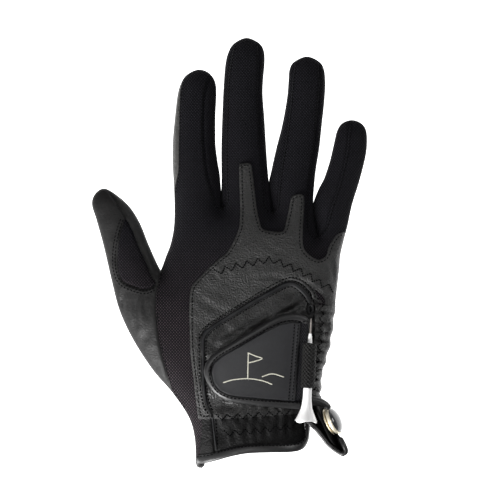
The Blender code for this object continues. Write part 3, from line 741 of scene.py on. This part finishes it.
LEATHER = leather("leather", (0.0145, 0.0142, 0.0138), roughness=0.41, grain=0.55, gloss=0.4)
THUMB_LEATHER = leather("thumb_leather", (0.0098, 0.0095, 0.0095), roughness=0.48, grain=0.18, gloss=0.2)
CUFF_LEATHER = leather("cuff_leather", (0.0024, 0.0023, 0.0024), roughness=0.48, grain=0.3, gloss=0.13)
SOFT_LEATHER = leather("soft_leather", (0.0066, 0.0063, 0.0062), roughness=0.34, gloss=0.42)
STRIP_LEATHER = leather("strip_leather", (0.042, 0.041, 0.039), roughness=0.42, gloss=0.5)
# Painted shadow: the flap leather is a little darker than the cuff leather and much less glossy, for the
# shade that the tee and the tab cast on the flap.
SHADOWED_FLAP_LEATHER = leather("flap_leather_painted_shadow", (0.0022, 0.0021, 0.0022), roughness=0.6, gloss=0.07)
# The last colour is the painted highlight that the knit's dots get near the wrist.
KNIT = knit("knit", (0.0022, 0.0021, 0.0031), (0.0115, 0.0105, 0.015), (0.056, 0.041, 0.047))
SMOOTH_FACE = plain("smooth_face", (0.0118, 0.0118, 0.0135), 0.5, relief=0.05, gloss=0.4)
BINDING = plain("binding", (0.0088, 0.0086, 0.009), 0.42, relief=0.08, gloss=0.48)
PIPING = plain("piping", (0.0025, 0.0026, 0.0034), 0.55, relief=0.1, gloss=0.3)
ELASTIC = ribbed("elastic", (0.0066, 0.0064, 0.0062), 2.2, 1.1, depth=0.6)
WEBBING = ribbed("webbing", (0.0032, 0.0032, 0.005), 1.2, 0.9)
THREAD = plain("thread", (0.0012, 0.0012, 0.0015), 0.9, scale=3000, variation=0.3, gloss=0.1)
PALE_THREAD = plain("cream_print", (0.5, 0.49, 0.41), 0.6)
WHITE = plain("white_plastic", (0.95, 0.945, 0.94), 0.32, variation=0.02, relief=0.02)
# The tee's tip is a thin grey-tan metal needle, 8.7 mm long.
GREY_TIP = plain("grey_tan_tip_metal", (0.3, 0.27, 0.25), 0.4, 0.6)
RIM = plain("rim_metal", (0.86, 0.79, 0.63), 0.42, 0.7, variation=0.05, relief=0.0)
DOME = plain("dark_enamel", (0.05, 0.052, 0.056), 0.12, variation=0.15, relief=0.01, coat=0.6)
HOOKS = plain("hook_pile", (0.006, 0.006, 0.007), 0.95, scale=2500, variation=0.5, relief=0.5)

skin = Skin()


def regions(outlines, centres):
    """Masks of the triangles in each outline. Where outlines overlap, the first one has the triangle."""
    free = np.ones(len(centres), bool)
    found = {}
    for name, outline in outlines.items():
        found[name] = free & inside(centres, np.array(outline, float))
        free &= ~found[name]
    return found


def seam(name, backwards=False):
    """Points of a seam, to build an outline with."""
    points = skin.lines[name].tolist()
    return points[::-1] if backwards else points


def thumb_window():
    """Outline of the thumb's mesh: its own seam, and the part of the long seam that closes it."""
    centre = skin.lines["thumb_centre"]
    start = np.argmin(np.hypot(*(centre - np.array(SEAMS["thumb_mesh"][0])).T))
    return seam("thumb_mesh") + centre[start:][::-1].tolist()


def back_outlines():
    gap_1, gap_2, gap_3 = GAPS
    return {
        "index_strip": (*seam("index_strip"), (-40, 32), (-40, 105), (-25, 105)),
        "index_gusset": (*seam("index_ulnar"), *gap_1, (-6, 103), (-10, 103)),
        "middle_gusset_radial": (*seam("middle_radial"), *gap_1, (-6, 121), (3, 121)),
        "middle_gusset_ulnar": (*seam("middle_ulnar"), *gap_2, (27, 121), (15.8, 121)),
        "ring_gusset_radial": (*seam("ring_radial"), *gap_2, (30, 110), (36, 110)),
        "ring_gusset_ulnar": (*seam("ring_ulnar"), *gap_3, (58, 100), (49.2, 110)),
        "little_gusset": (*seam("little"), *gap_3, (58, 78), (66, 77)),
        "middle_knit": (*gap_1, (-6, 121), (27, 121), *gap_2[::-1], *seam("middle_base", True)),
        "ring_knit": (*gap_2, (30, 112), (58, 112), *gap_3[::-1], *seam("ring_base", True)),
        "under_panel": UNDER_PANEL,
        "thumb_inner": (
            *seam("thumb_centre"), (-39, -16.6), (-37.8, -10), (-38.5, 0), (-40, 15), (-50, 32), (-60, 42),
            (-67, 42),
        ),
        "thumb_window": thumb_window(),
        "thumb_leather": (*seam("stripe"), (-90, -86.4), (-90, 60), (-55, 60), (-38.5, 0)),
        "cuff_side_panel": (
            (-14.9, -91), (-9.6, -89.8), (-8.8, -100), (-7.8, -120), (-15.9, -120), (-15.9, -109),
        ),
        "cuff_panel": (
            (-9.6, -89.8), (14, -89.4), (43, -87.6), (43.4, -86.4), (80, -90), (80, -120), (-7.8, -120),
            (-8.8, -100),
        ),
        "little_knit": (
            *gap_3, (58, 78), (90, 78), (90, -7), (48, -7), (38, -2), (37, 8), (39, 14.6),
        ),
        "back_knit": EVERYWHERE,
    }


def palm_outlines():
    gap_1, gap_2, gap_3 = GAPS
    return {
        "index_front": (*gap_1, (-6, 103), (-42, 103), (-42, 24.7), *seam("index_base")),
        "middle_front": (*gap_1, (-6, 121), (27, 121), *gap_2[::-1], *seam("middle_base", True)),
        "ring_front": (*gap_2, (30, 112), (58, 112), *gap_3[::-1], *seam("ring_base", True)),
        "little_front": (*gap_3, (58, 78), (90, 78), (90, 3.2), *seam("little_base", True)),
        "thumb_front": (*seam("thumb_base"), (-90, -17), (-90, 60), (-50, 60), (-37.5, -9)),
        "palm_leather": EVERYWHERE,
    }


def nearest_on(points, line):
    """Distance along an evenly spaced line to each point's nearest place on it, and the distance from it."""
    tree = tree_of(line)
    step = np.linalg.norm(line[1] - line[0])
    found = [tree.find((p[0], p[1], 0)) for p in points]
    return np.array([f[1] for f in found]) * step, np.array([f[2] for f in found])


def puckers(flat, row, pitch, reach, depth):
    """Small folds that cross a gathered row and fade out on both sides."""
    along, away = nearest_on(flat, along_curve(row, 0.5))
    sway = along + 0.6 * np.sin(along * 0.37)
    return depth * bell(away, reach) * (np.abs(np.sin(np.pi * sway / pitch)) ** 0.8 - 0.6)


def creases(flat):
    """Soft folds in the leather, each along its own line."""
    total = np.zeros(len(flat))
    for points, width, depth in CREASES:
        line = along_curve(points, 0.8)
        along, away = nearest_on(flat, line)
        length = 0.8 * len(line)
        fade = np.sin(np.pi * np.clip(along / length, 0.04, 0.96)) ** 0.6
        total += depth * fade * (0.55 * bell(away - 1.5 * width, width) - bell(away, width))
    return total


def seam_relief(flat):
    """A groove along every sewn seam, with the turned edges raised beside it."""
    names = [name for name in SEAMS if name not in HIDDEN_SEAMS] + ["cuff_split"]
    away = distance_to(flat, np.vstack([skin.lines[name] for name in names]))
    return -0.5 * bell(away, 0.55) + 0.22 * bell(away - 1.5, 0.8)


def overlay_edge():
    """The sewn edge of the knuckle leather, without the side where it runs on into the side leather."""
    line = skin.lines["overlay"]
    last, first = (np.argmin(np.hypot(*(line - np.array(end)).T)) for end in (OVERLAY_START, OVERLAY_END))
    return np.vstack([line[first:], line[:last + 1]])


def lifts():
    """How far each kind of panel stands off the smooth back."""
    flat = skin.flat
    seams = seam_relief(flat)
    broad = smooth_noise(flat, (17, 13), 3.1)
    middling = smooth_noise(flat, (7.5, 5), 8.4)
    small = smooth_noise(flat, (2.8, 2.0), 5.7)
    folds = creases(flat)
    gathers = puckers(flat, SHIRRING, SIDE_PITCH, 6.5, 2.7)
    cuff = sum(puckers(flat, row, CUFF_PITCH, 5.5, 1.3) for row in CUFF_ROWS)
    off_cuff_seam = 1 - bell(flat[:, 1] + 89.5, 4.0)
    knuckles = puckers(flat, KNUCKLE_ROW, KNUCKLE_PITCH, 3.0, 0.8)
    hide = seams + 0.34 * broad + 0.22 * middling + 0.07 * small + folds
    edge = distance_to(flat, overlay_edge())
    turned = -0.5 * bell(edge, 0.45) - 0.35 * bell(edge - 1.5, 0.45) + 0.15 * bell(edge - 0.8, 0.4)
    rim = bell(distance_to(flat, skin.outline), 1.4)
    rows = [skin.lines[name] for name in HIDDEN_SEAMS] + [along_curve(row, 0.5) for row in PALM_SEAMS]
    grooves = distance_to(flat, np.vstack(rows))
    found = {
        "leather": hide,
        "strip": hide,
        "knit": seams + 0.15 * broad - 0.12,
        "gathered": 0.8 + 0.45 * broad + 0.25 * middling + 0.08 * small + folds + gathers,
        "cuff": hide + cuff,
        "under": hide + cuff + (0.6 * middling + 0.15 * small - 0.7) * off_cuff_seam,
        "overlay": (
            0.8 + turned + 0.36 * broad + 0.22 * middling + 0.08 * small + folds + knuckles + 0.6 * gathers
        ),
        "palm": (
            0.25 * broad + 0.15 * middling - 0.6 * bell(grooves, 0.9) + 0.2 * bell(grooves - 1.9, 0.9) - 0.15
        ),
    }
    return {kind: lift * (1 - rim) + RIM_LIFT * rim for kind, lift in found.items()}


BACK, BACK_NORMALS, BACK_FACES = skin.side(palm=False)
PALM, PALM_NORMALS, PALM_FACES = skin.side(palm=True)
LIFT = lifts()
raised_points, raised_faces = [], []


def back_panel(name, faces, look, lift, body, nodes):
    """One panel of the back, lifted off the smooth shell. It also joins the surface that the trims lie on."""
    outer = BACK + BACK_NORMALS * LIFT[lift][:, None]
    raised_faces.append(faces + len(raised_points) * len(outer))
    raised_points.append(outer)
    piece = thick_sheet(name, outer, BACK_NORMALS, faces, look, SHEET, cloth_map(BACK, BACK_NORMALS))
    return attach(piece, body, nodes)


def make_back():
    found = regions(back_outlines(), skin.centres)
    looks = {
        "leather": THUMB_LEATHER, "strip": STRIP_LEATHER, "knit": KNIT, "cuff": CUFF_LEATHER,
        "under": SOFT_LEATHER,
    }
    for name, lift, body, nodes in BACK_PANELS:
        back_panel(name, BACK_FACES[found[name]], looks[lift], lift, body, nodes)
    overlay = inside(skin.centres, skin.lines["overlay"])
    prong = overlay & inside(skin.centres, np.array(RING_PRONG, float))
    side = inside(skin.centres, np.array(SHIRRED_SIDE, float)) & ~overlay
    back_panel(
        "knuckle_leather", BACK_FACES[overlay & ~prong], LEATHER, "overlay", "middle",
        ("knuckle_overlay", "middle_knuckle_patch"),
    )
    back_panel(
        "ring_prong", BACK_FACES[prong], LEATHER, "overlay", "ring", ("ring_knuckle_patch",),
    )
    back_panel("side_leather", BACK_FACES[side], LEATHER, "gathered", "glove", ("side_leather",))


def make_palm():
    found = regions(palm_outlines(), skin.centres)
    outer = PALM + PALM_NORMALS * LIFT["palm"][:, None]
    outer[:, 2] = np.maximum(outer[:, 2], 0.05)
    cloth = cloth_map(PALM, PALM_NORMALS)
    for name, mask in found.items():
        body = name.split("_")[0]
        piece = thick_sheet(name, outer, PALM_NORMALS, PALM_FACES[mask], LEATHER, SHEET, cloth)
        attach(piece, body if body in KNUCKLES else "glove", (name,))


make_back()
make_palm()
SURFACE = BVHTree.FromPolygons(np.vstack(raised_points).tolist(), np.vstack(raised_faces).tolist())


def on_surface(x, y, tree=SURFACE):
    """The point straight below (x, y) on a finished surface, and the normal there."""
    hit, normal, _, _ = tree.ray_cast(Vector((x, y, 90)), Vector((0, 0, -1)))
    if hit is None:
        hit, normal, _, _ = tree.find_nearest(Vector((x, y, 14)))
        hit = Vector((x, y, hit.z))
    if normal.z < 0:
        normal = -normal
    return hit, normal


def laid(path, lift, tree=SURFACE, smooth=3):
    """A flat path laid on a surface: points lifted off it, and smoothed normals."""
    found = [on_surface(x, y, tree) for x, y in path]
    points = np.array([tuple(hit) for hit, _ in found])
    normals = np.array([tuple(normal) for _, normal in found])
    for _ in range(smooth):
        padded = np.vstack([normals[:1], normals, normals[-1:]])
        normals = padded[:-2] + padded[1:-1] + padded[2:]
        padded = np.concatenate([points[:1, 2], points[:, 2], points[-1:, 2]])
        points[:, 2] = (padded[:-2] + 2 * padded[1:-1] + padded[2:]) / 4
    normals /= np.linalg.norm(normals, axis=1, keepdims=True)
    return points + normals * lift, normals


def sweep(name, points, normals, wide, high, look, sides=14, closed=False, square=1.0):
    """Closed band of oval section along a path. wide is its half width, and high its half height."""
    count = len(points)
    if closed:
        run = np.roll(points, -1, axis=0) - np.roll(points, 1, axis=0)
    else:
        run = np.gradient(points, axis=0)
    run /= np.linalg.norm(run, axis=1, keepdims=True) + 1e-9
    side = np.cross(run, normals)
    side /= np.linalg.norm(side, axis=1, keepdims=True) + 1e-9
    up = np.cross(side, run)
    turn = np.arange(sides) / sides * 2 * np.pi
    wide = np.broadcast_to(wide, count)[:, None, None]
    high = np.broadcast_to(high, count)[:, None, None]
    c = (np.sign(np.cos(turn)) * np.abs(np.cos(turn)) ** square)[None, :, None]
    s = (np.sign(np.sin(turn)) * np.abs(np.sin(turn)) ** square)[None, :, None]
    rings = points[:, None] + side[:, None] * wide * c + up[:, None] * high * s
    gone = np.concatenate([[0], np.cumsum(np.linalg.norm(np.diff(points, axis=0), axis=1))])
    across = wide[:, :, 0] * np.cos(turn)[None, :]
    uv = np.stack(np.broadcast_arrays(across, gone[:, None]), axis=2).reshape(-1, 2)
    vertices = rings.reshape(-1, 3)
    faces = []
    for i in range(count if closed else count - 1):
        j = (i + 1) % count
        for k in range(sides):
            m = (k + 1) % sides
            faces.append((i * sides + k, i * sides + m, j * sides + m, j * sides + k))
    if not closed:
        bulge = 0.5 * high[0, 0]
        vertices = np.vstack([vertices, points[:1] - run[:1] * bulge, points[-1:] + run[-1:] * bulge])
        uv = np.vstack([uv, [[0, 0]], [[0, gone[-1]]]])
        first, last = count * sides, count * sides + 1
        for k in range(sides):
            m = (k + 1) % sides
            faces.append((first, m, k))
            faces.append((last, (count - 1) * sides + k, (count - 1) * sides + m))
    return new_piece(name, vertices, outward(vertices, faces), look, uv)


def round_end(count, step, radius=1.4):
    """Factors that round off the far end of a band whose section stays full until the radius from there."""
    left = np.arange(count)[::-1] * step / radius
    return np.sqrt(np.clip(1 - (1 - np.clip(left, 0, 1)) ** 2, 0.04, 1))


def outward(points, faces):
    """The faces, turned round if the closed shape they make is inside out."""
    volume = 0.0
    for face in faces:
        a = points[face[0]]
        for b, c in zip(face[1:], face[2:]):
            volume += np.dot(a, np.cross(points[b], points[c]))
    return faces if volume > 0 else [tuple(face[::-1]) for face in faces]


def upright(count):
    """Normals of a band that lies level."""
    return np.tile(UP, (count, 1))


def stitches(name, path, body, pitch=1.9, length=1.3, radius=0.3, tree=SURFACE, sink=0.0, keep=None):
    """Row of separate stitches along a flat path on a surface."""
    line = respaced(np.array(path, float), pitch)
    steps = np.gradient(line, axis=0)
    if keep is not None:
        chosen = [keep(p) for p in line]
        line, steps = line[chosen], steps[chosen]
    rings = ((-0.5, 0.0), (-0.38, 0.8), (0.0, 1.0), (0.38, 0.8), (0.5, 0.0))
    sides = 6
    vertices, faces = [], []
    for (x, y), step in zip(line, steps):
        hit, normal = on_surface(x, y, tree)
        run = Vector((step[0], step[1], 0))
        run = (run - normal * run.dot(normal)).normalized()
        side = run.cross(normal)
        first = len(vertices)
        centre = hit + normal * (radius * 0.25 - sink)
        for at, thick in rings:
            for k in range(sides):
                turn = k * 2 * math.pi / sides
                out = side * math.cos(turn) + normal * math.sin(turn)
                vertices.append(centre + run * (at * length) + out * (thick * radius + 0.02))
        for ring in range(len(rings) - 1):
            for k in range(sides):
                a = first + ring * sides + k
                b = first + ring * sides + (k + 1) % sides
                faces.append((a, a + sides, b + sides, b))
        last = first + (len(rings) - 1) * sides
        faces.append(tuple(range(first, first + sides)))
        faces.append(tuple(reversed(range(last, last + sides))))
    piece = new_piece(name, np.array([tuple(v) for v in vertices]), faces, THREAD)
    return attach(piece, body)


def beside(line, away):
    """A flat line moved sideways, to its left."""
    line = np.array(line, float)
    return line + sideways(line) * away


def zigzag(row, pitch, height):
    """Corners of a zigzag that follows a row."""
    line = along_curve(row, pitch / 2)
    corners = beside(line, 1.0) - line
    signs = np.where(np.arange(len(line)) % 2 == 0, 0.5, -0.5)[:, None]
    return line + corners * signs * height


def make_seam_stitches():
    for name, side, body in SEAM_ROWS:
        for offset in side:
            row = beside(skin.lines[name], offset)
            label = f"{name}_stitches_{abs(offset):.0f}{'a' if offset > 0 else 'b'}"
            stitches(label, row[3:-3], body, keep=lambda p: p[1] > STITCH_LIMIT)
    outline = overlay_edge()
    left = outline + sideways(outline) * 1.45
    inner = left if inside(left[40:41], skin.lines["overlay"])[0] else outline - sideways(outline) * 1.45
    in_skin = lambda p: inside(np.array([p]), skin.outline)[0] and p[1] > -108
    in_prong = lambda p: inside(np.array([p]), np.array(RING_PRONG))[0]
    stitches("knuckle_stitches", inner, "middle", keep=lambda p: in_skin(p) and not in_prong(p))
    stitches("prong_stitches", inner, "ring", keep=lambda p: in_skin(p) and in_prong(p))


def make_zigzags():
    rows = (
        ("knuckle_elastic", KNUCKLE_ROW, KNUCKLE_PITCH, 3.4),
        ("cuff_elastic_upper", CUFF_ROWS[0], CUFF_PITCH, 3.0),
        ("cuff_elastic_lower", CUFF_ROWS[1], CUFF_PITCH, 3.0),
        ("side_elastic", SHIRRING, SIDE_PITCH, 2.6),
    )
    for name, row, pitch, height in rows:
        corners = zigzag(row, pitch, height)
        piece = stitches(name, corners, "glove", pitch=1.3, length=1.15, radius=0.36)
        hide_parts(name)


def make_bindings():
    path = along_curve(SLIT, 0.8)
    points, normals = laid(path, 0.35, smooth=6)
    wide = np.interp(path[:, 1], (-90, -76), (0.55, 1.25))
    piece = sweep("slit_binding", points, normals, wide, 0.6 * wide, PIPING, square=0.8)
    attach(piece, "glove", ("slit_binding",))
    for name, away in (("slit_stitches_outer", 1.8), ("slit_stitches_inner", -1.8)):
        stitches(name, beside(path, away), "glove", keep=lambda p: p[1] > -86)
    turn = np.linspace(0, 2 * np.pi, 28, endpoint=False)
    loop = np.column_stack([CURL[0] + 1.3 * np.cos(turn), CURL[1] + 2.3 * np.sin(turn)])
    height = on_surface(*CURL)[0].z + 1.2
    ring = np.column_stack([loop, np.full(len(loop), height)])
    piece = sweep("slit_curl", ring, upright(len(ring)), 0.6, 0.8, PIPING, sides=10, closed=True)
    attach(piece, "glove", ("slit_curl",))


def make_wrist():
    path = along_curve(WRIST_BINDING, 0.8)
    points, normals = laid(path, 0.1, smooth=8)
    wide = 2.4 - 0.3 * np.linspace(0, 1, len(path))
    piece = sweep("wrist_binding", points, normals, wide, 1.15, BINDING, sides=18, square=0.75)
    attach(piece, "glove", ("wrist_binding",))
    stitches("wrist_stitches", beside(path, 1.55)[3:-3], "glove", sink=-1.0)
    tail = along_curve(WRIST_TAIL, 0.7)
    start = on_surface(*WRIST_TAIL[0])[0].z - 0.2
    heights = np.linspace(start, start - 4.0, len(tail))
    wide = 2.4 * round_end(len(tail), 0.7, 2.0)
    points = np.column_stack([tail, heights])
    attach(sweep("wrist_tail", points, upright(len(tail)), wide, 0.45 * wide, BINDING), "glove")
    under = along_curve([(40.8, -103.5), (39.3, -106.2), *WRIST_EDGE, (-17.4, -113.6)], 1.0)
    points = np.column_stack([under, np.full(len(under), 1.5)])
    rise = np.minimum(np.arange(len(under)), np.arange(len(under))[::-1])
    points[:, 2] += 6.0 * np.exp(-(rise / 3.0))
    piece = sweep("wrist_binding_palm", points, upright(len(under)), 1.9, 1.1, BINDING, square=0.8)
    attach(piece, "glove")


def rest_height():
    """A smooth curved sheet that fits the back where the closure tab lies, as a function of flat points."""
    x, y = skin.flat.T
    near = (x > -14) & (x < 44) & (y > -86) & (y < -32)
    centre = np.array((14.0, -60.0))

    def terms(flat):
        u, v = ((np.asarray(flat, float) - centre) / 30).T
        return np.column_stack([np.ones(len(u)), u, v, u * u, u * v, v * v])

    fit, *_ = np.linalg.lstsq(terms(skin.flat[near]), BACK[near, 2], rcond=None)
    return lambda flat: terms(flat) @ fit


REST = rest_height()


def patch(name, outline, height, look, body, slot, nodes=(), coarse=1.3, thickness=1.0, sharp=False):
    """Closed sheet over a flat outline, with a height for each place and its distance from the edge."""
    if sharp:
        loop = respaced(np.array([*outline, outline[0]], float), 0.9)[:-1]
    else:
        loop = along_curve(outline, 0.9, True)[:-1]
    flat, faces = triangulate(loop, [], (0.25, 0.7, 1.3, 2.0, 2.8, 3.6), coarse)
    edge = respaced(np.vstack([loop, loop[:1]]), 0.3)
    points = np.column_stack([flat, height(flat, distance_to(flat, edge))])
    normals = vertex_normals(points, faces)
    piece = thick_sheet(name, points, normals, faces, look, thickness, flat - flat.mean(axis=0))
    attach(piece, body, nodes)
    return BVHTree.FromPolygons(points.tolist(), faces.tolist())


def make_tab():
    edge = along_curve(TAB_EDGE, 0.4)

    def rolled(flat, d):
        across = np.clip(distance_to(flat, edge) / 4.0, 0, 1)
        return REST(flat) + TAB_LIFT + 1.9 * np.sqrt(np.clip(1 - (2 * across - 1) ** 2, 0.0, 1)) ** 0.8

    band = [*along_curve(TAB_EDGE, 0.9).tolist(), *along_curve(TAB_FACE_EDGE, 0.9)[::-1].tolist()]
    roll = patch("tab_binding", band, rolled, BINDING, "tab_edge", "elastic", ("tab_binding",), sharp=True)
    raised = lambda flat, d: (
        REST(flat) + TAB_LIFT + 1.0 + 0.5 * np.clip(d / 0.35, 0, 1) + 0.12 * bell(d - 0.9, 0.5)
        + 0.12 * smooth_noise(flat, (16, 10), 2.2) - 0.2 * bell(d - 3.2, 3.0)
    )
    tab = ("closure_tab", "smooth_face", ("tab_face",))
    face = patch("tab_face", TAB_FACE, raised, SMOOTH_FACE, *tab, sharp=True)
    loop = beside(along_curve(TAB_FACE_EDGE, 0.8), -0.95)
    stitches("tab_edge_stitches", loop, "tab_edge", pitch=2.1, length=1.5, radius=0.34, tree=roll)
    for name, top, bottom in TAB_END_ROWS:
        stitches(name, (top, bottom), "closure_tab", pitch=1.8, length=1.1, tree=face)
    level = lambda above: lambda flat, d: REST(flat) + above
    layers = (
        ("tab_lining", TAB_LINING, TAB_LIFT - 0.2, 0.5, SOFT_LEATHER, "closure_tab", "leather"),
        ("tab_hooks", HOOK_PATCH, TAB_LIFT - 0.75, 0.5, HOOKS, "closure_tab", "hook_pile", "tab_hook_patch"),
        ("loop_pile", PILE_PATCH, 1.0, 0.9, HOOKS, "glove", "hook_pile", "loop_pile_patch"),
    )
    for name, outline, above, thickness, look, body, slot, *nodes in layers:
        patch(name, outline, level(above), look, body, slot, nodes, coarse=3, thickness=thickness)
    strip = lambda flat, d: REST(flat) + TAB_LIFT + 0.3 + 0.5 * np.clip(d / 0.8, 0, 1)
    webbing = ("glove", "elastic", ("tab_elastic_strip",))
    patch("tab_webbing", WEBBING_STRIP, strip, WEBBING, *webbing, thickness=2.2, sharp=True)
    make_emblem(face)


def make_emblem(face):
    """Plain pin flag above two low hills, drawn in raised cream lines."""
    strokes = {
        "emblem_pole": ((10.4, -54.0), (10.1, -68.4)),
        "emblem_pennant": ((10.4, -54.2), (14.4, -55.9), (18.0, -57.2), (14.3, -58.6), (10.4, -59.6)),
        "emblem_near_hill": ((-3.4, -70.4), (2.4, -68.8), (10.1, -68.2), (17.6, -69.2), (23.4, -71.4)),
        "emblem_far_hill": ((17.8, -67.2), (23.4, -65.6), (29.8, -67.4)),
    }
    for name, stroke in strokes.items():
        points, normals = laid(along_curve(stroke, 0.6), 0.03, face, smooth=1)
        piece = sweep(name, points, normals, 0.3, 0.12, PALE_THREAD, sides=8)
        attach(piece, "closure_tab")


def lathe(name, profile, look, place, waves=None):
    """Turned piece, from (radius, height) points between its ends, put in place by a matrix.

    waves is (count, depth, height): below that height the end of the piece is scalloped.
    """
    steps = 56
    turn = np.arange(steps) / steps * 2 * np.pi
    vertices, rows = [], []
    for r, z in profile:
        if r == 0:
            rows.append([len(vertices)])
            vertices.append((0, 0, z))
        else:
            rows.append(list(range(len(vertices), len(vertices) + steps)))
            rise = [scallop(t, z, waves) for t in turn]
            vertices += [(r * math.cos(t), r * math.sin(t), z + lift) for t, lift in zip(turn, rise)]
    faces = []
    for above, below in zip(rows, rows[1:]):
        for k in range(steps):
            m = (k + 1) % steps
            upper = (above[k % len(above)], above[m % len(above)])
            corners = (*upper, below[m % len(below)], below[k % len(below)])
            faces.append(tuple(dict.fromkeys(corners)))
    if len(rows[0]) > 1 and profile[0] != profile[-1]:
        faces.append(tuple(rows[0]))
        faces.append(tuple(reversed(rows[-1])))
    faces = [face for face in faces if len(face) > 2]
    placed = np.array([tuple(place @ Vector(v)) for v in vertices])
    reach = [math.hypot(a[0] - b[0], a[1] - b[1]) for a, b in zip(profile, profile[1:])]
    gone = [0, *np.cumsum(reach)]
    uv = np.vstack([[(k / steps * 24.0, far) for k in range(len(row))] for row, far in zip(rows, gone)])
    return new_piece(name, placed, outward(placed, faces), look, uv, sharp=42)


def scallop(turn, z, waves):
    """Height that the waves add at an angle, none above their start."""
    if waves is None or z > waves[2]:
        return 0.0
    return waves[1] * (0.5 + 0.5 * math.cos(waves[0] * turn + 0.6))


def make_tee():
    tip, head = Vector((*TEE_TIP, TEE_Z)), Vector((*TEE_HEAD, TEE_Z))
    lie = Matrix.Translation(tip) @ (tip - head).to_track_quat("Z", "Y").to_matrix().to_4x4()
    attach(lathe("tee", TEE_PROFILE, WHITE, lie, waves=(3, 1.3, -56.5)), "tee", ("tee",))
    attach(lathe("tee_needle", NEEDLE_PROFILE, GREY_TIP, lie), "tee")
    middle = head.lerp(tip, 0.545)
    half = 12.3
    pitch = 0.45
    ribs = []
    for k in range(int(2 * half / pitch) + 1):
        z = half - pitch * k
        ribs.append((3.78 + 0.07 * (k % 2) - 0.35 * math.exp(-((half - abs(z)) / 0.5)), z))
    bore = [(2.95, -half + 0.1), (2.95, half - 0.1)]
    profile = [*ribs, *bore, ribs[0]]
    stand = Matrix.Translation(middle) @ (tip - head).to_track_quat("Z", "Y").to_matrix().to_4x4()
    attach(lathe("tee_loop", profile, ELASTIC, stand), "glove", ("tee_loop",))


def marker_frame(out):
    """Matrix of the ball marker's plane, moved out from its centre. +Z is its normal, +X is down the flap."""
    normal = Vector(MARKER_NORMAL).normalized()
    down = Vector((0.474, -0.88, 0))
    down = (down - normal * down.dot(normal)).normalized()
    turn = Matrix((down, normal.cross(down), normal)).transposed().to_4x4()
    return Matrix.Translation(Vector(MARKER_CENTRE) + normal * out) @ turn


def make_marker():
    turned = (
        ("marker_holder", HOLDER_PROFILE, RIM, -2.3, "glove", "grey_plastic"),
        ("marker_rim", RIM_PROFILE, RIM, -0.7, "ball_marker", "rim_metal"),
        ("marker_face", DOME_PROFILE, DOME, 0.6, "ball_marker", "grey_plastic"),
    )
    for name, profile, look, out, body, slot in turned:
        attach(lathe(name, profile, look, marker_frame(out)), body, (name,))
    plate = along_curve(FLAP_PLATE, 1.2, True)[:-1]
    flat, faces = triangulate(plate, [], (0.4, 1.0, 1.8), 1.6)
    edge = distance_to(flat, plate)
    lie = marker_frame(-2.7)
    bulge = 0.25 * smooth_noise(flat, (6, 5), 1.3) - 0.6 * bell(edge, 0.5)
    local = np.column_stack([flat, bulge])
    points = np.array([tuple(lie @ Vector(p)) for p in local])
    normals = vertex_normals(points, faces)
    # The flap plate and the flap face both take the flap leather that is darkened as painted shadow.
    piece = thick_sheet("marker_flap", points, normals, faces, SHADOWED_FLAP_LEATHER, 1.3, flat)
    attach(piece, "glove", ("marker_flap",))
    hang = lambda flat, d: flap_height(flat)
    leaf = patch("flap_face", FLAP_OUTLINE, hang, SHADOWED_FLAP_LEATHER, "glove", "leather", thickness=1.1)
    path = along_curve(FLAP_EDGE, 0.8)
    points, normals = laid(path, 0.1, leaf, smooth=4)
    wide = 1.3 * round_end(len(path), 0.8)
    piece = sweep("marker_flap_binding", points, normals, wide, 0.9 * wide, BINDING)
    attach(piece, "glove", ("marker_flap_binding",))
    stitches("flap_stitches", FLAP_STITCHES, "glove", tree=leaf)
    lip = along_curve(FLAP_LIP, 0.6)
    points = np.column_stack([lip, np.linspace(16.6, 15.8, len(lip))])
    wide = np.linspace(2.9, 1.7, len(lip)) * round_end(len(lip), 0.6)
    attach(sweep("flap_lip", points, upright(len(lip)), wide, 0.9 * wide, BINDING), "glove")


def flap_height(flat):
    """The flap slopes down from its bound edge towards the marker."""
    away = distance_to(flat, along_curve(FLAP_EDGE, 0.5))
    return 16.5 - 13.5 * (1 - np.exp(-away / 9.0)) + 0.25 * smooth_noise(flat, (6, 6), 4.4)


def studio():
    """Plain pale floor, soft lights, and the camera straight above the back of the hand."""
    bpy.ops.mesh.primitive_plane_add(size=6, location=(0, 0, -0.12))
    floor = bpy.context.object
    floor.name = "floor"
    made, _, shader = material("floor")
    settle(shader, {"Base Color": (0.9, 0.9, 0.9, 1), "Roughness": 0.9})
    settle(shader, {"Emission Color": (1, 1, 1, 1), "Emission Strength": 1.0})
    floor.data.materials.append(made)
    world = bpy.data.worlds.new("studio")
    world.use_nodes = True
    settle(world.node_tree.nodes["Background"], {"Color": (1, 1, 1, 1), "Strength": 0.12})
    bpy.context.scene.world = world
    for name, place, size, power in LAMPS:
        lamp = bpy.data.lights.new(name, "AREA")
        lamp.size = size
        lamp.energy = power
        holder = bpy.data.objects.new(name, lamp)
        holder.location = place
        holder.rotation_euler = (-Vector(place)).to_track_quat("-Z", "Y").to_euler()
        bpy.context.scene.collection.objects.link(holder)
    lens = bpy.data.cameras.new("camera")
    camera = bpy.data.objects.new("camera", lens)
    bpy.context.scene.collection.objects.link(camera)
    camera.location = (VIEW_CENTRE[0] * MM, VIEW_CENTRE[1] * MM, 0.01 + VIEW_HEIGHT * MM)
    lens.sensor_width = 36
    lens.lens = 36 * VIEW_HEIGHT / VIEW_WIDTH
    lens.clip_end = 20
    bpy.context.scene.camera = camera
    bpy.context.scene.view_settings.view_transform = "Standard"


make_seam_stitches()
make_zigzags()
make_bindings()
make_wrist()
make_tab()
make_tee()
make_marker()
studio()
